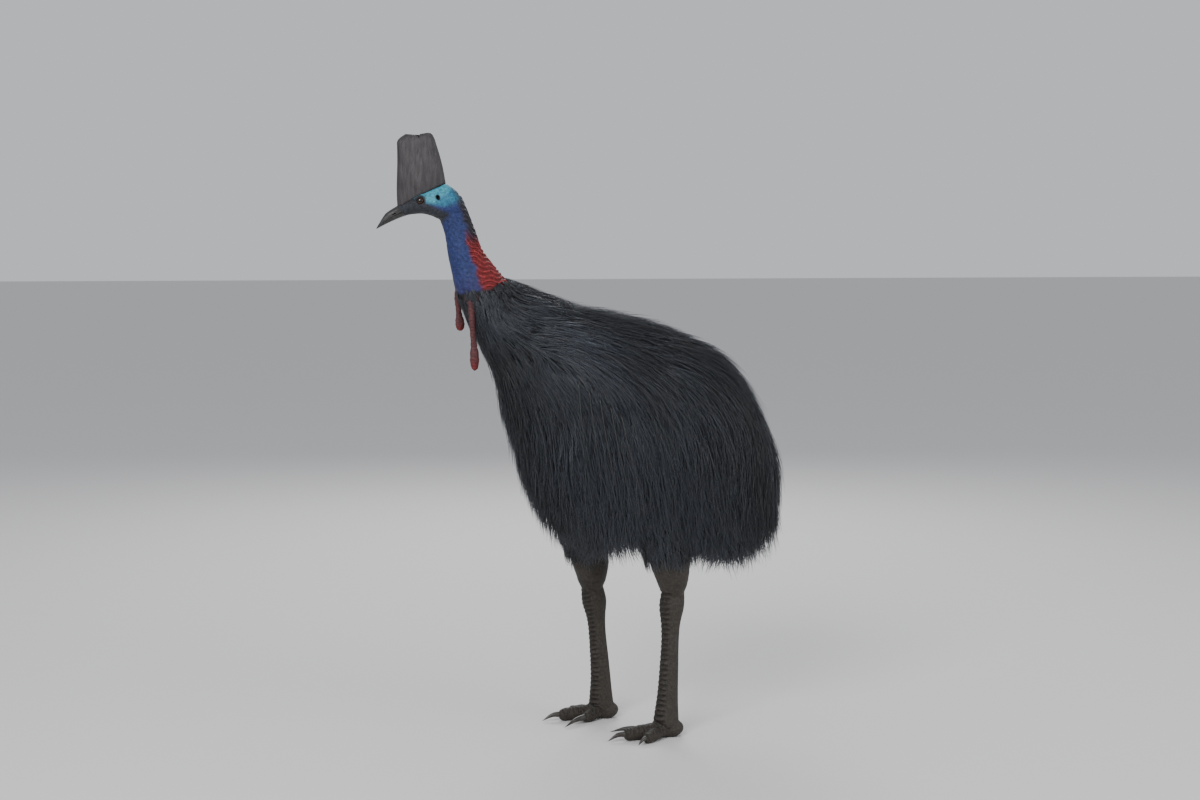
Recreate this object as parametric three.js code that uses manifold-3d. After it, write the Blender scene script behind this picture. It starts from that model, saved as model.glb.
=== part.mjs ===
// A standing southern cassowary at life size, in millimetres, +Z up.
// The bird faces -X with its left side toward -Y, and its head is turned to its right.
// The origin is on the floor, under the middle of the whole figure.
import * as THREE from "three";
import { mergeVertices } from "three/addons/utils/BufferGeometryUtils.js";
import Module from "manifold-3d";

const wasm = await Module();
wasm.setup();

// Driving dimensions
const FACE_GAP = 0.3;
const DEG = Math.PI / 180;

const BODY_MIDDLE = { x: 0, z: 800 };
const BODY_HALF_WIDTH = 250;
const COAT_DEPTH = 34;
const HEM_DEPTH = 105;

const HEAD_AT = new THREE.Vector3(-510, 0, 1362);
const HEAD_YAW = 160 * DEG;
const HEAD_PITCH = 27 * DEG;
const EYE_RADIUS = 11.3;

const QUILLS = 5;
const QUILL_RADIUS = 1.8;

const TARSUS_SCUTES = 9;
const TOE_SCUTES = 3;

// Colours
const SKINS = {
  plumage: { color: 0x0c0d10, roughness: 0.75 },
  casque: { color: 0x5d554e, roughness: 0.85 },
  bill: { color: 0x1b1a1c, roughness: 0.5 },
  blue: { color: 0x2c55a8, roughness: 0.7 },
  red: { color: 0xb4331d, roughness: 0.75 },
  wattle: { color: 0x8e3a33, roughness: 0.75 },
  eye: { color: 0x4a2410, roughness: 0.15 },
  quill: { color: 0x08080a, roughness: 0.4 },
  scales: { color: 0x6b665b, roughness: 0.8 },
  claw: { color: 0x2b2723, roughness: 0.45 },
};

// A value read off a list of [place, value] stations by a smooth curve through them
function between(stations, place) {
  const last = stations.length - 1;
  let i = 0;
  while (i < last - 1 && place > stations[i + 1][0]) i += 1;
  const slope = (k) => {
    const a = stations[Math.max(k - 1, 0)];
    const b = stations[Math.min(k + 1, last)];
    return (b[1] - a[1]) / (b[0] - a[0]);
  };
  const [x0, y0] = stations[i];
  const [x1, y1] = stations[i + 1];
  const span = x1 - x0;
  const s = THREE.MathUtils.clamp((place - x0) / span, 0, 1);
  const s2 = s * s;
  const s3 = s2 * s;
  return (
    (2 * s3 - 3 * s2 + 1) * y0 +
    (s3 - 2 * s2 + s) * span * slope(i) +
    (3 * s2 - 2 * s3) * y1 +
    (s3 - s2) * span * slope(i + 1)
  );
}

const smooth = THREE.MathUtils.smoothstep;

// A closed geometry as a solid: shared vertices merged, collapsed triangles dropped
function solid(geometry) {
  const bare = geometry.clone();
  bare.deleteAttribute("normal");
  bare.deleteAttribute("uv");
  const merged = mergeVertices(bare, 1e-3);
  const index = merged.index.array;
  const kept = [];
  for (let i = 0; i < index.length; i += 3) {
    const [a, b, c] = [index[i], index[i + 1], index[i + 2]];
    if (a !== b && b !== c && a !== c) kept.push(a, b, c);
  }
  const closed = () =>
    new wasm.Manifold(
      new wasm.Mesh({
        numProp: 3,
        vertProperties: new Float32Array(merged.attributes.position.array),
        triVerts: new Uint32Array(kept),
      }),
    );
  const made = closed();
  if (made.volume() > 0) return made;
  // A form that was drawn inside out is turned round
  for (let i = 0; i < kept.length; i += 3) [kept[i], kept[i + 1]] = [kept[i + 1], kept[i]];
  return closed();
}

// The largest closed body of a solid
function largest(shape) {
  const bodies = shape.decompose();
  return bodies.reduce((a, b) => (b.volume() > a.volume() ? b : a));
}

function joined(shapes) {
  return shapes.reduce((a, b) => a.add(b));
}

function ball(radii, at, turn = new THREE.Euler(), sides = 10) {
  const geometry = new THREE.SphereGeometry(1, sides, Math.round(sides * 0.7));
  geometry.scale(radii[0], radii[1], radii[2]);
  geometry.applyMatrix4(new THREE.Matrix4().makeRotationFromEuler(turn));
  geometry.translate(at[0], at[1], at[2]);
  return geometry;
}

// A slab that cuts one piece from the next: its near face passes through a point, square to a normal
function slab(point, normal, thickness = FACE_GAP, breadth = 900) {
  const geometry = new THREE.BoxGeometry(breadth, breadth, thickness);
  geometry.translate(0, 0, thickness / 2);
  const turn = new THREE.Quaternion().setFromUnitVectors(
    new THREE.Vector3(0, 0, 1),
    new THREE.Vector3(...normal).normalize(),
  );
  geometry.applyQuaternion(turn);
  geometry.translate(...point);
  return solid(geometry);
}

// Everything on one side of a slab's plane
const beyond = (point, normal) => slab(point, normal, 900, 1800);

// The room that an upright limb's grown skin takes in its neighbours, with the gap at its ends too
const roomAround = (grown) =>
  joined([grown, grown.translate([0, 0, FACE_GAP]), grown.translate([0, 0, -FACE_GAP])]);

// A form drawn along a run of frames: section(t, angle) says how far its skin lies [sideways, upward] of them
function shapeAlong(frameAt, sides, steps, section) {
  const geometry = new THREE.CylinderGeometry(1, 1, 1, sides, steps);
  const position = geometry.attributes.position;
  for (let i = 0; i < position.count; i += 1) {
    const t = THREE.MathUtils.clamp(position.getY(i) + 0.5, 0, 1);
    const across = position.getX(i);
    const along = position.getZ(i);
    const { at, side, up } = frameAt(t);
    const point = at.clone();
    if (Math.hypot(across, along) > 0.5) {
      const [sideways, upward] = section(t, Math.atan2(along, across));
      point.addScaledVector(side, sideways).addScaledVector(up, upward);
    }
    position.setXYZ(i, point.x, point.y, point.z);
  }
  return solid(geometry);
}

// A limb swept along a curve that keeps one sideways direction
function sweep(curve, sides, steps, section, side = new THREE.Vector3(0, 1, 0)) {
  const frameAt = (t) => ({
    at: curve.getPoint(t),
    side,
    up: new THREE.Vector3().crossVectors(curve.getTangent(t), side).normalize(),
  });
  return shapeAlong(frameAt, sides, steps, section);
}

const curveThrough = (points) =>
  new THREE.CatmullRomCurve3(points.map((p) => new THREE.Vector3(...p)), false, "centripetal");

// A rounded section: 2 is an ellipse, more is squarer
function rounded(angle, halfSide, halfRise, squareness = 2) {
  const c = Math.cos(angle);
  const s = Math.sin(angle);
  const reach = (Math.abs(c) ** squareness + Math.abs(s) ** squareness) ** (-1 / squareness);
  return [halfSide * reach * c, halfRise * reach * s];
}

// Body
// Outline of the coat from the side: up the breast, over the back, down the rump and along the hem
const COAT_OUTLINE = [
  [-232, 535],
  [-315, 672],
  [-352, 780],
  [-385, 897],
  [-424, 1035],
  [-434, 1087],
  [-366, 1178],
  [-279, 1162],
  [-160, 1122],
  [-40, 1101],
  [110, 1052],
  [230, 992],
  [306, 895],
  [360, 783],
  [395, 660],
  [385, 540],
  [330, 462],
  [130, 452],
  [-100, 465],
];

const outlineCurve = new THREE.CatmullRomCurve3(
  COAT_OUTLINE.map(([x, z]) => new THREE.Vector3(x, 0, z)),
  true,
  "centripetal",
);
const OUTLINE_SAMPLES = outlineCurve.getPoints(720).map((p) => ({
  angle: Math.atan2(p.z - BODY_MIDDLE.z, p.x - BODY_MIDDLE.x),
  reach: Math.hypot(p.z - BODY_MIDDLE.z, p.x - BODY_MIDDLE.x),
}));

// How far the coat reaches from the body's middle at an angle in the side view
function coatReach(angle) {
  let best = OUTLINE_SAMPLES[0];
  let miss = Infinity;
  for (const sample of OUTLINE_SAMPLES) {
    const off = Math.abs(Math.atan2(Math.sin(sample.angle - angle), Math.cos(sample.angle - angle)));
    if (off < miss) {
      miss = off;
      best = sample;
    }
  }
  return best.reach;
}

// The coat is deepest along the hem, where it hangs free below the belly
function coatDepth(angle) {
  const down = Math.max(0, -Math.sin(angle));
  return COAT_DEPTH + (HEM_DEPTH - COAT_DEPTH) * smooth(down, 0.35, 0.95);
}

const CORE_REACH = Array.from({ length: 720 }, (_, i) => {
  const angle = (i / 720) * 2 * Math.PI;
  return coatReach(angle) - coatDepth(angle);
});

function coreReach(angle) {
  const turn = ((angle / (2 * Math.PI)) * 720 + 1440) % 720;
  const low = Math.floor(turn);
  const share = turn - low;
  return CORE_REACH[low % 720] * (1 - share) + CORE_REACH[(low + 1) % 720] * share;
}

const FLANK_FULLNESS = 2.35;
const NECK_SIDE = 142 * DEG;
const NECK_NARROWING = 0.3;

// Half width of the body at the middle, narrower toward the neck
function halfWidth(angle, share, inset) {
  const towardNeck = Math.max(0, Math.cos(angle - NECK_SIDE));
  return (BODY_HALF_WIDTH - inset) * (1 - NECK_NARROWING * share * towardNeck ** 2);
}

// 1 on the core's skin, less inside it
function coreLevel(p) {
  const x = p.x - BODY_MIDDLE.x;
  const z = p.z - BODY_MIDDLE.z;
  const angle = Math.atan2(z, x);
  const share = Math.hypot(x, z) / coreReach(angle);
  const width = halfWidth(angle, Math.min(share, 1), COAT_DEPTH);
  return (share ** FLANK_FULLNESS + Math.abs(p.y / width) ** FLANK_FULLNESS) ** (1 / FLANK_FULLNESS);
}

// The point of the core's skin in line with a point, seen from the body's middle
function ontoCore(p) {
  const middle = new THREE.Vector3(BODY_MIDDLE.x, 0, BODY_MIDDLE.z);
  const out = p.clone().sub(middle);
  const found = p.clone();
  for (let i = 0; i < 4; i += 1) {
    out.divideScalar(coreLevel(found));
    found.copy(middle).add(out);
  }
  return found;
}

// The way out of the skin at a point
function outward(p) {
  const h = 6;
  const slope = (dx, dy, dz) =>
    coreLevel(new THREE.Vector3(p.x + dx, p.y + dy, p.z + dz)) -
    coreLevel(new THREE.Vector3(p.x - dx, p.y - dy, p.z - dz));
  return new THREE.Vector3(slope(h, 0, 0), slope(0, h, 0), slope(0, 0, h)).normalize();
}

// A ball pressed narrow, with its poles on the flanks, is moved out to the skin
const START_RADIUS = 300;
const START_NARROWNESS = 0.62;

function bodyCore(extra = 0) {
  const geometry = new THREE.SphereGeometry(1, 22, 12);
  const position = geometry.attributes.position;
  for (let i = 0; i < position.count; i += 1) {
    const start = new THREE.Vector3(position.getX(i), position.getY(i) * START_NARROWNESS, position.getZ(i));
    start.multiplyScalar(START_RADIUS);
    start.x += BODY_MIDDLE.x;
    start.z += BODY_MIDDLE.z;
    const p = ontoCore(start);
    p.addScaledVector(outward(p), extra);
    position.setXYZ(i, p.x, p.y, p.z);
  }
  return solid(geometry);
}

// Neck
const NECK_PATH = curveThrough([
  [-345, 0, 1075],
  [-400, 0, 1133],
  [-430, 0, 1172],
  [-450, 0, 1212],
  [-466, 0, 1252],
  [-477, 0, 1300],
  [-492, 0, 1342],
  [-507, 0, 1378],
]);
const NECK_DEPTH = [
  [0, 62],
  [0.24, 61],
  [0.4, 58],
  [0.52, 48],
  [0.64, 41],
  [0.78, 37],
  [1, 36],
];
const NECK_WIDTH = [
  [0, 58],
  [0.24, 56],
  [0.4, 49],
  [0.52, 40],
  [0.7, 34],
  [1, 31],
];
const FOLDS = 12;
const FOLD_HEIGHT = 3.4;

// The bare skin of the nape and the neck's base lies in crosswise folds
function neckSkin(extra = 0) {
  return sweep(NECK_PATH, 14, 38, (t, angle) => {
    const [side, rise] = rounded(angle, between(NECK_WIDTH, t) + extra, between(NECK_DEPTH, t) + extra);
    const behind = 0.35 + 0.65 * Math.max(0, -Math.sin(angle));
    const folded = smooth(t, 0.18, 0.3) * (1 - smooth(t, 0.75, 0.92));
    const fold = Math.sin(t * FOLDS * 2 * Math.PI + 1.1 * Math.cos(angle)) * FOLD_HEIGHT * folded * behind;
    const out = 1 + fold / Math.hypot(side, rise);
    return [side * out, rise * out];
  });
}

const NECK_ROOT = { point: [-388, 0, 1120], normal: [-0.8, 0, 0.6] };
const NECK_MIDDLE = { point: [-463, 0, 1243], normal: [-0.33, 0, 0.94] };
const NECK_TOP = { point: [-488, 0, 1332], normal: [-0.35, 0, 0.94] };

// Head, in its own frame: +X to the bill's tip, +Y to the bird's left, +Z to the crown
const headPlace = new THREE.Matrix4().compose(
  HEAD_AT,
  new THREE.Quaternion().setFromEuler(new THREE.Euler(0, HEAD_PITCH, HEAD_YAW, "ZYX")),
  new THREE.Vector3(1, 1, 1),
);
const onNeck = (shape) => shape.transform(headPlace.elements);

const HEAD_TOP = [
  [-41, 22],
  [-32, 44],
  [-8, 55],
  [30, 60],
  [80, 60],
  [112, 58],
  [127, 57],
  [142, 54.5],
  [155, 48.5],
  [165, 42.5],
  [174, 37],
  [180, 33],
];
const HEAD_UNDER = [
  [-41, 8],
  [-32, -24],
  [-8, -34],
  [12, -31],
  [28, -20],
  [40, -5],
  [56, 10],
  [80, 22],
  [105, 28.5],
  [135, 31.5],
  [165, 32],
  [180, 31.8],
];
const HEAD_HALF_WIDTH = [
  [-41, 7],
  [-32, 26],
  [-8, 34],
  [28, 36],
  [56, 33],
  [84, 23],
  [110, 14],
  [140, 9.5],
  [165, 6],
  [180, 1.2],
];
const HEAD_BACK = -41;
const BILL_TIP = 180;
const BILL_ROOT = 106;
const MOUTH_LINE = [
  [50, 21],
  [60, 24],
  [84, 33],
  [110, 38.5],
  [150, 38],
  [182, 32.4],
];

function wholeHead(extra = 0) {
  const axis = new THREE.LineCurve3(new THREE.Vector3(HEAD_BACK, 0, 0), new THREE.Vector3(BILL_TIP, 0, 0));
  return sweep(axis, 14, 20, (t, angle) => {
    const x = HEAD_BACK + (BILL_TIP - HEAD_BACK) * t;
    const top = between(HEAD_TOP, x);
    const under = between(HEAD_UNDER, x);
    const half = between(HEAD_HALF_WIDTH, x);
    const [side, rise] = rounded(angle, half + extra, (top - under) / 2 + extra, 2.2);
    return [side, (top + under) / 2 + rise];
  });
}

// Casque
const CASQUE_FRONT = [
  [0, 110],
  [0.25, 92],
  [0.6, 63],
  [0.85, 41],
  [0.95, 28],
  [1, 10],
];
const CASQUE_BACK = [
  [0, -25],
  [0.3, -37],
  [0.7, -48],
  [0.9, -51],
  [0.96, -48],
  [1, -38],
];
const CASQUE_HALF_THICKNESS = [
  [0, 22],
  [0.2, 26],
  [0.7, 19],
  [0.93, 13],
  [1, 4],
];
const CASQUE_FLOOR = 53.5;
const CASQUE_FRONT_TOP = 206;
const CASQUE_BACK_TOP = 186;

function casqueShape(extra = 0) {
  const geometry = new THREE.CylinderGeometry(1, 1, 1, 20, 8);
  const position = geometry.attributes.position;
  for (let i = 0; i < position.count; i += 1) {
    const t = position.getY(i) + 0.5;
    const across = position.getX(i);
    const along = position.getZ(i);
    const onAxis = Math.hypot(across, along) < 0.5 ? 0 : 1;
    const angle = Math.atan2(along, across);
    const front = between(CASQUE_FRONT, t) + extra;
    const back = between(CASQUE_BACK, t) - extra;
    const grown = extra * (2 * t - 1);
    const frontHeight = CASQUE_FLOOR + (CASQUE_FRONT_TOP - CASQUE_FLOOR) * t + grown;
    const backHeight = CASQUE_FLOOR + (CASQUE_BACK_TOP - CASQUE_FLOOR) * t + grown;
    const [lengthwise, sideways] = rounded(angle, 1, between(CASQUE_HALF_THICKNESS, t) + extra, 2.3);
    const share = 0.5 + 0.5 * lengthwise * onAxis;
    position.setXYZ(
      i,
      back + (front - back) * share,
      sideways * onAxis,
      backHeight + (frontHeight - backHeight) * share,
    );
  }
  return solid(geometry);
}

// Eyes, lids and ears
const EYE = { x: 52, y: 22, z: 41.5 };
const EAR = { x: 6, y: 33, z: 28 };

const eyeBall = (side, extra = 0) =>
  solid(ball([EYE_RADIUS + extra, EYE_RADIUS + extra, EYE_RADIUS + extra], [EYE.x, side * EYE.y, EYE.z]));

// A raised ring of skin round an eye or an ear, tipped to face a little upward
function rim(at, radius, thickness, stretch, side) {
  const geometry = new THREE.TorusGeometry(radius, thickness, 5, 10);
  geometry.scale(1, stretch, 1);
  geometry.rotateX((side * -Math.PI) / 2);
  geometry.rotateX(side * 0.3);
  geometry.translate(at.x, side * at.y, at.z);
  return solid(geometry);
}

// Legs
const LEGS = {
  left: {
    toeTurn: 182 * DEG,
    outward: -1,
    thigh: [[-30, -128, 650], [0, -126, 590], [34, -116, 500], [52, -108, 425], [57, -105, 362]],
    tarsus: [[57, -105, 385], [52, -105, 330], [48, -105, 230], [43, -105, 120], [38, -105, 50]],
    foot: [38, -105],
  },
  right: {
    toeTurn: 176 * DEG,
    outward: 1,
    thigh: [[-140, 130, 640], [-120, 130, 580], [-98, 126, 490], [-86, 122, 405], [-84, 122, 345]],
    tarsus: [[-84, 122, 360], [-76, 122, 310], [-68, 122, 220], [-60, 122, 120], [-58, 122, 50]],
    foot: [-58, 122],
  },
};
const THIGH_RADIUS = [
  [0, 64],
  [0.3, 66],
  [0.55, 58],
  [0.8, 46],
  [0.93, 33],
  [1, 20],
];
const TARSUS_DEPTH = [
  [0, 30],
  [0.12, 33],
  [0.25, 26],
  [0.6, 25],
  [0.85, 29],
  [1, 34],
];
const TARSUS_WIDTH = [
  [0, 24],
  [0.12, 27],
  [0.3, 20],
  [0.7, 20],
  [1, 27],
];
const SCUTE_RISE = 1.6;

function thighSkin(leg, extra = 0) {
  return sweep(curveThrough(leg.thigh), 10, 7, (t, angle) => {
    const radius = between(THIGH_RADIUS, t) + extra;
    return rounded(angle, radius * 0.95, radius);
  });
}

// Overlapping scutes step down the front of the shank
function scute(t, count) {
  const place = (t * count) % 1;
  return place < 0.75 ? SCUTE_RISE * (0.35 + 0.65 * (place / 0.75)) : 0;
}

function tarsusSkin(leg, extra = 0) {
  return sweep(curveThrough(leg.tarsus), 8, TARSUS_SCUTES * 3, (t, angle) => {
    const inFront = Math.max(0, -Math.sin(angle)) ** 0.5;
    const raised = scute(t, TARSUS_SCUTES) * inFront + extra;
    return rounded(angle, between(TARSUS_WIDTH, t) + raised, between(TARSUS_DEPTH, t) + raised, 2.2);
  });
}

// Toes and claws, in the foot's frame: +X forward, +Y to the bird's left
const TOES = {
  middle: { turn: 0, length: 118, radius: 19, claw: 46, clawRadius: 8.5 },
  outer: { turn: 31, length: 92, radius: 16.5, claw: 32, clawRadius: 7.5 },
  inner: { turn: -33, length: 70, radius: 16.5, claw: 78, clawRadius: 9 },
};
const SOLE_CUT = 2.5;
const CLAW_OVERLAP = 14;
const CLAW_TIP_HEIGHT = 4.2;

function toeCurve(toe, turn) {
  const c = Math.cos(turn);
  const s = Math.sin(turn);
  const height = toe.radius - SOLE_CUT;
  return {
    curve: curveThrough([
      [4 * c, 4 * s, 34],
      [0.3 * toe.length * c, 0.3 * toe.length * s, height + 7],
      [0.6 * toe.length * c, 0.6 * toe.length * s, height + 1],
      [toe.length * c, toe.length * s, height - 1],
    ]),
    sideways: new THREE.Vector3(-s, c, 0),
  };
}

const TOE_TAPER = [
  [0, 1.2],
  [0.35, 1.02],
  [0.5, 1.1],
  [0.65, 0.94],
  [0.8, 1.0],
  [0.94, 0.8],
  [1, 0.5],
];

function toeShape(toe, turn, extra = 0) {
  const { curve, sideways } = toeCurve(toe, turn);
  return sweep(
    curve,
    7,
    TOE_SCUTES * 3,
    (t, angle) => {
      const onTop = Math.max(0, Math.sin(angle)) ** 0.5;
      const radius = toe.radius * between(TOE_TAPER, t) + scute(t, TOE_SCUTES) * onTop + extra;
      return rounded(angle, radius, radius, 2.1);
    },
    sideways,
  );
}

function clawShape(toe, turn) {
  const c = Math.cos(turn);
  const s = Math.sin(turn);
  const height = toe.radius - SOLE_CUT;
  const from = toe.length - CLAW_OVERLAP;
  const to = toe.length + toe.claw;
  const curve = curveThrough([
    [from * c, from * s, height + 1],
    [((from + to) / 2) * c, ((from + to) / 2) * s, height + 1.5],
    [to * c, to * s, CLAW_TIP_HEIGHT],
  ]);
  return sweep(
    curve,
    6,
    5,
    (t, angle) => {
      const radius = toe.clawRadius * (1 - t ** 1.6);
      return rounded(angle, radius * 0.85, radius, 2);
    },
    new THREE.Vector3(-s, c, 0),
  );
}

// A foot is its three toes, the heel's pad and the ankle
const aboveFloor = beyond([0, 0, 0], [0, 0, 1]);

function footShape(leg, extra = 0) {
  const toes = Object.values(TOES).map((toe) => toeShape(toe, leg.outward * -toe.turn * DEG, extra));
  const heel = solid(ball([34 + extra, 27 + extra, 24 + extra], [-14, 0, 21], new THREE.Euler(), 8));
  const ankle = solid(ball([34 + extra, 28 + extra, 36 + extra], [0, 0, 40], new THREE.Euler(), 8));
  return joined([heel, ankle, ...toes]);
}

function footPlace(leg) {
  return new THREE.Matrix4()
    .makeTranslation(leg.foot[0], leg.foot[1], 0)
    .multiply(new THREE.Matrix4().makeRotationZ(leg.toeTurn));
}

// Wattles: two straps of bare skin, each with a folded bulb at its end
const WATTLES = {
  left: [[-452, -26, 1150], [-457, -34, 1110], [-456, -36, 1060], [-452, -37, 1005], [-451, -37, 957]],
  right: [[-470, 18, 1175], [-477, 25, 1140], [-474, 27, 1105], [-471, 27, 1075], [-470, 27, 1054]],
};
const WATTLE_BREADTH = [
  [0, 13],
  [0.2, 10],
  [0.45, 8],
  [0.65, 8.5],
  [0.85, 12.5],
  [0.97, 8],
  [1, 3],
];

function wattleShape(points) {
  return sweep(curveThrough(points), 8, 14, (t, angle) => {
    const crease = 1 + 0.12 * Math.sin(t * 14 * Math.PI) + 0.1 * Math.cos(3 * angle);
    const breadth = between(WATTLE_BREADTH, t) * crease;
    return rounded(angle, breadth * 0.8, breadth);
  });
}

// Wings: a short flat arm against the flank, with bare quills that curve down over the coat
const WING = {
  arm: [[-285, 985], [-230, 960], [-165, 905], [-120, 850]],
  armHalf: 36,
  armThickness: 13,
  locks: [[-278, 990], [-235, 972], [-190, 935], [-150, 890]],
  lock: { long: 168, lift: 50, half: 31, from: 6 },
};

// Below this the flank turns in under the body, and what hangs from the wing drops straight
const FLANK_TURN = 740;

// A point at a height over the flank's skin
function overFlank(x, z, side, height) {
  const level = Math.max(z, FLANK_TURN);
  const angle = Math.atan2(level - BODY_MIDDLE.z, x - BODY_MIDDLE.x);
  const share = Math.hypot(x - BODY_MIDDLE.x, level - BODY_MIDDLE.z) / coreReach(angle);
  const width = halfWidth(angle, share, COAT_DEPTH);
  const out = width * (1 - share ** FLANK_FULLNESS) ** (1 / FLANK_FULLNESS);
  const flank = new THREE.Vector3(x, side * out, level);
  return flank.addScaledVector(outward(flank), height).setZ(Math.min(z, flank.z + height));
}

function wingArm(side, extra = 0) {
  const curve = new THREE.CatmullRomCurve3(WING.arm.map(([x, z]) => overFlank(x, z, side, 5)));
  const out = outward(curve.getPoint(0.5));
  return sweep(
    curve,
    10,
    6,
    (t, angle) => {
      const ends = Math.sqrt(Math.max(0, 1 - (2 * t - 1) ** 4)) * 0.85 + 0.15;
      return rounded(angle, (WING.armThickness + extra) * ends, WING.armHalf * ends + extra);
    },
    out,
  );
}

// The first quill's root and the last one's, and how far each reaches down, back and out of the coat
const QUILL_ROOTS = [[-232, 958], [-127, 858]];
const QUILL_DROP = [290, 250];
const QUILL_SWING = [18, 48];
const QUILL_HEIGHT = [20, 54];

function quill(side, i, extra = 0) {
  const share = i / (QUILLS - 1);
  const mix = THREE.MathUtils.lerp;
  const [first, last] = QUILL_ROOTS;
  const points = [0, 0.33, 0.66, 1].map((s) => {
    const x = mix(first[0], last[0], share) + mix(...QUILL_SWING, share) * s ** 1.4;
    const z = mix(first[1], last[1], share) - mix(...QUILL_DROP, share) * s;
    return overFlank(x, z, side, mix(...QUILL_HEIGHT, Math.sin((s * Math.PI) / 2)));
  });
  const curve = new THREE.CatmullRomCurve3(points);
  return sweep(
    curve,
    4,
    5,
    (t, angle) => {
      const radius = QUILL_RADIUS * (1 - 0.72 * t) + extra;
      return rounded(angle, radius, radius);
    },
    outward(curve.getPoint(0.4)),
  );
}

// Locks of the coat
// A seeded source of small differences between one lock and the next
function seeded(seed) {
  let state = seed;
  return () => {
    state = (state + 0x6d2b79f5) | 0;
    let mixed = Math.imul(state ^ (state >>> 15), 1 | state);
    mixed = (mixed + Math.imul(mixed ^ (mixed >>> 7), 61 | mixed)) ^ mixed;
    return ((mixed ^ (mixed >>> 14)) >>> 0) / 4294967296;
  };
}

const LOCK_STEPS = 4;
const LOCK_SUNK = 14;
const LOCK_LENGTH = 196;
const LOCK_HALF_WIDTH = 35;
const LOCK_RIDGE = 9;
const LOCK_TAPER = [0.8, 1, 0.92, 0.6, 0];
const THIGH_LOCK = { count: 6, from: 0.5, to: 0.86, sunk: 8, lift: 13, half: 19, ridge: 6 };
const TIER_STEP = 78;
const LOCK_STEP = 82;

// The lie of the coat: backward along the back, ever steeper down the flanks and rump
function lie(p) {
  const fall = (14 + 66 * smooth(1130 - p.z, 0, 430) + 34 * smooth(p.x, 130, 370)) * DEG;
  const steep = Math.min(fall, 88 * DEG);
  return new THREE.Vector3(Math.cos(steep), 0, -Math.sin(steep));
}

// A lock is flat beneath, with a low ridge above, and tapers to its tip
function lockAlong(frames, half, ridge, extra) {
  return shapeAlong(
    (t) => frames[Math.round(t * LOCK_STEPS)],
    3,
    LOCK_STEPS,
    (t, angle) => {
      const taper = LOCK_TAPER[Math.round(t * LOCK_STEPS)];
      const high = taper > 0 ? ridge * (0.35 + 0.65 * taper) : 0;
      // A thin edge has to grow sideways by more than the gap before its two faces clear it
      const wide = (Math.cos(angle) / 0.866) * (half * taper + 8 * extra);
      const thick = ((Math.sin(angle) + 0.5) / 1.5) * (high + 3 * extra);
      return [wide, thick - extra];
    },
  );
}

// A lock lies on the skin where it can, and hangs free below the belly and the rump
function lockShape({ root, turn, long, lift, half = LOCK_HALF_WIDTH, from = -LOCK_SUNK }, extra = 0) {
  const frames = [];
  let p = root.clone();
  for (let k = 0; k <= LOCK_STEPS; k += 1) {
    const share = k / LOCK_STEPS;
    const out = outward(p);
    const height = from + (lift - from) * share ** 0.8;
    const skin = ontoCore(p).addScaledVector(out, height);
    const at = k > 0 && coreLevel(p) > coreLevel(skin) ? p.clone() : skin;
    const flow = lie(p);
    const into = flow.dot(out);
    if (into < 0) flow.addScaledVector(out, -into);
    flow.normalize().applyAxisAngle(out, turn * (1 - 1.6 * share));
    const side = new THREE.Vector3().crossVectors(out, flow).normalize();
    const up = new THREE.Vector3().crossVectors(flow, side).normalize();
    frames.push({ at, side, up });
    p = at.clone().addScaledVector(flow, long / LOCK_STEPS);
  }
  return lockAlong(frames, half, LOCK_RIDGE, extra);
}

// Tiers of roots run round the body, square to a line from the neck to the underside of the tail
const TIER_AXIS = new THREE.Vector3(0.62, 0, -0.785).normalize();
const TIER_UP = new THREE.Vector3(0.785, 0, 0.62).normalize();
const TIER_SIDE = new THREE.Vector3(0, 1, 0);
const TIER_STOOP = 0.19;
const TIER_SAMPLES = 240;
const FARTHEST_ROOT = 700;

function tierPoint(along, turn) {
  const middle = new THREE.Vector3(BODY_MIDDLE.x, 0, BODY_MIDDLE.z);
  const towardNeck = Math.max(0, -along);
  middle.addScaledVector(TIER_AXIS, along).addScaledVector(TIER_UP, -towardNeck * TIER_STOOP);
  const ray = TIER_SIDE.clone().multiplyScalar(Math.cos(turn)).addScaledVector(TIER_UP, Math.sin(turn));
  if (coreLevel(middle) > 0.97) return null;
  let near = 0;
  let far = FARTHEST_ROOT;
  for (let i = 0; i < 26; i += 1) {
    const half = (near + far) / 2;
    if (coreLevel(middle.clone().addScaledVector(ray, half)) < 1) near = half;
    else far = half;
  }
  return middle.addScaledVector(ray, near);
}

function tierRoots(along, stagger) {
  const ring = [];
  for (let i = 0; i <= TIER_SAMPLES; i += 1) {
    const p = tierPoint(along, (i / TIER_SAMPLES) * 2 * Math.PI + Math.PI / 2);
    if (!p) return [];
    ring.push(p);
  }
  let round = 0;
  const lengths = ring.map((p, i) => (i ? (round += p.distanceTo(ring[i - 1])) : 0));
  const count = Math.max(6, Math.round(round / LOCK_STEP));
  const roots = [];
  for (let k = 0; k < count; k += 1) {
    const goal = ((k + stagger) / count) * round;
    roots.push(ring[lengths.findIndex((l) => l >= goal)].clone());
  }
  return roots;
}

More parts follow.
